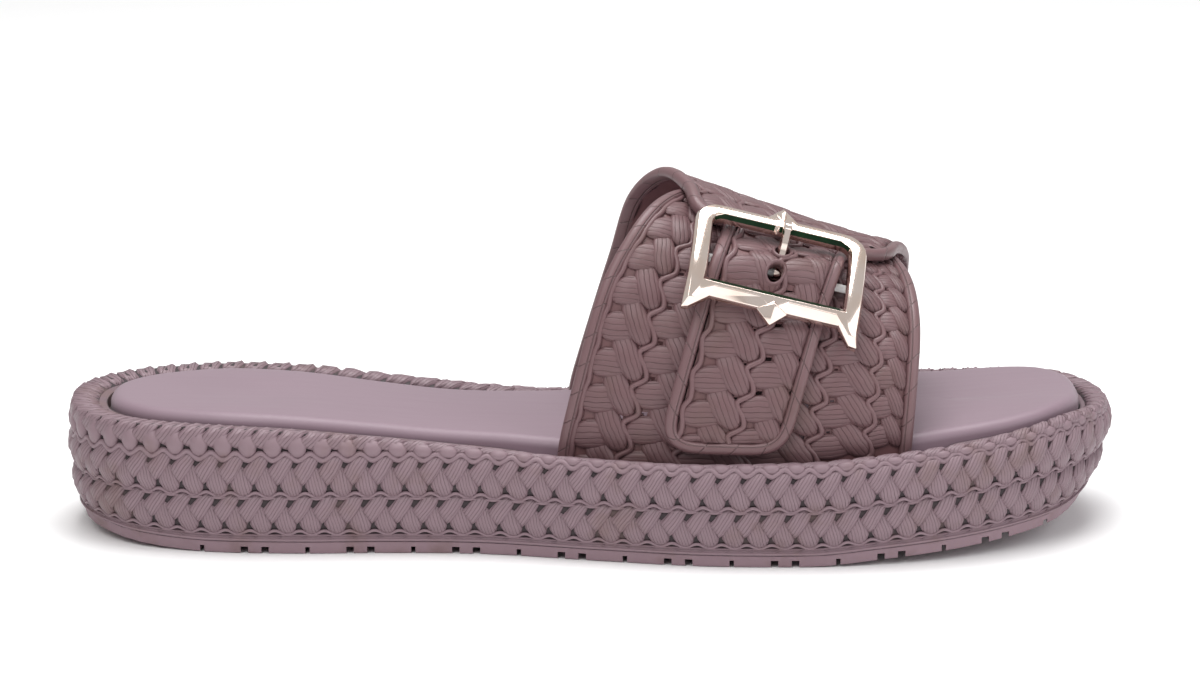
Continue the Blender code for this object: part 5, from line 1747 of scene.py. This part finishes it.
def build_prong():
    """The prong: a loop round the centre bar, and a bevelled tongue up through the pin hole."""
    path, loop_count = prong_path()
    flat = resample(path, PRONG_STEP)
    for _ in range(2):
        flat = soften(flat, 1)
    ahead = headings(flat)
    side = np.stack([-ahead[:, 1], ahead[:, 0]], axis=1)
    steps = len(flat) - 1
    w, t = PRONG_WIDTH / 2, PRONG_THICKNESS / 2
    shape = np.array([(-w, -t), (w, -t), (w, t * 0.2), (w * 0.62, t), (-w * 0.62, t), (-w, t * 0.2),
                      (-w, -t)])
    loop_steps = running_length(path[:loop_count])[-1] / PRONG_STEP

    def place(u, v):
        i, k = nearest(u, steps), nearest(v, len(shape) - 1)
        thin = np.where(i < loop_steps, PRONG_LOOP_WALL / PRONG_THICKNESS, 1.0)
        taper = 1 - 0.35 * smoothstep((i - steps + 6) / 6)
        spot = flat[i] + side[i] * (shape[k, 1] * thin)[:, None]
        rests = spot[:, 0] ** 2 / (2 * BUCKLE_BEND_RADIUS) * (spot[:, 0] > PRONG_HOLE_UP)
        right = shape[k, 0] * taper + PRONG_OFFSET
        return (BUCKLE.origin + np.outer(right, BUCKLE.right) + np.outer(spot[:, 0], BUCKLE.up)
                + np.outer(spot[:, 1] - rests, BUCKLE.out))

    prong = make_sheet("prong", steps, len(shape) - 1, place)
    close_up(prong)
    cap_holes(prong)
    smooth_shading(prong, 35)
    finish_piece(prong, PALE_GOLD, "buckle_prong")


# Set

WORLD_LIGHT = 0.32
SEEN_WORLD_MORE = 0.70
MIRRORED_WORLD_MORE = 0.24
CAMERA_TARGET = (0.0023, 0.0, 0.0442)
CAMERA_TILT_DEG = 14.3
CAMERA_DISTANCE = 1.3
CAMERA_LENS = 153


def build_set():
    """The pale floor, the soft lights, and the camera at the photograph's angle."""
    floor = start_piece("floor", bpy.ops.mesh.primitive_plane_add, size=6)
    set_places(floor, places_of(floor) + [0, 0, -0.0002])
    floor.data.materials.append(new_material("pale floor", (0.96, 0.96, 0.96), 0.9)[0])
    world = bpy.data.worlds.new("studio")
    bpy.context.scene.world = world
    world.use_nodes = True
    background = world.node_tree.nodes["Background"]
    background.inputs[0].default_value = (1.0, 1.0, 1.0, 1.0)
    rays = node(world.node_tree, "ShaderNodeLightPath").outputs
    tree = world.node_tree
    more = maths(tree, "ADD", times(tree, rays["Is Camera Ray"], SEEN_WORLD_MORE),
                 times(tree, rays["Is Glossy Ray"], MIRRORED_WORLD_MORE))
    tree.links.new(maths(tree, "ADD", more, WORLD_LIGHT), background.inputs[1])
    for name, place, size, power, tint in (
        ("key", (-0.35, -0.75, 0.95), 0.8, 6.6, (1.0, 0.99, 0.98)),
        ("fill", (0.85, -0.55, 0.55), 0.9, 4.6, (0.97, 0.98, 1.0)),
        ("top", (0.05, 0.20, 1.15), 0.8, 13.0, (1.0, 1.0, 1.0)),
    ):
        light = bpy.data.lights.new(name, "AREA")
        light.size, light.energy, light.color = size, power, tint
        lamp = bpy.data.objects.new(name, light)
        lamp.location = place
        lamp.rotation_euler = (Vector((0, 0, 0.03)) - Vector(place)).to_track_quat("-Z", "Y").to_euler()
        bpy.context.scene.collection.objects.link(lamp)
    camera = bpy.data.cameras.new("camera")
    camera.sensor_width = 36
    camera.lens = CAMERA_LENS
    eye = bpy.data.objects.new("camera", camera)
    bpy.context.scene.collection.objects.link(eye)
    target = Vector(CAMERA_TARGET)
    tilt = math.radians(CAMERA_TILT_DEG)
    back = Vector((0, -math.cos(tilt), math.sin(tilt)))
    eye.location = target + back * CAMERA_DISTANCE
    eye.rotation_euler = (-back).to_track_quat("-Z", "Y").to_euler()
    bpy.context.scene.camera = eye
    bpy.context.scene.view_settings.view_transform = "Standard"


def main():
    build_set()
    build_core()
    build_plaits()
    build_sole_cords()
    build_band()
    build_ledge()
    build_sock()
    for strap, start, slot in ((UNDER, 0.30, "strap_lateral"), (OVER, -0.21, "strap_medial")):
        build_sheet(strap, start, slot)
        build_weave(strap, start, slot)
        build_wavy_cords(strap, start, slot)
        build_bead(strap, slot)
    build_pin_collars()
    build_buckle_frame()
    build_studs()
    build_prong()
    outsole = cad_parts["outsole"]
    for slot in outsole.material_slots:
        slot.material = TREAD_RUBBER
    bpy.ops.object.select_all(action="DESELECT")


main()
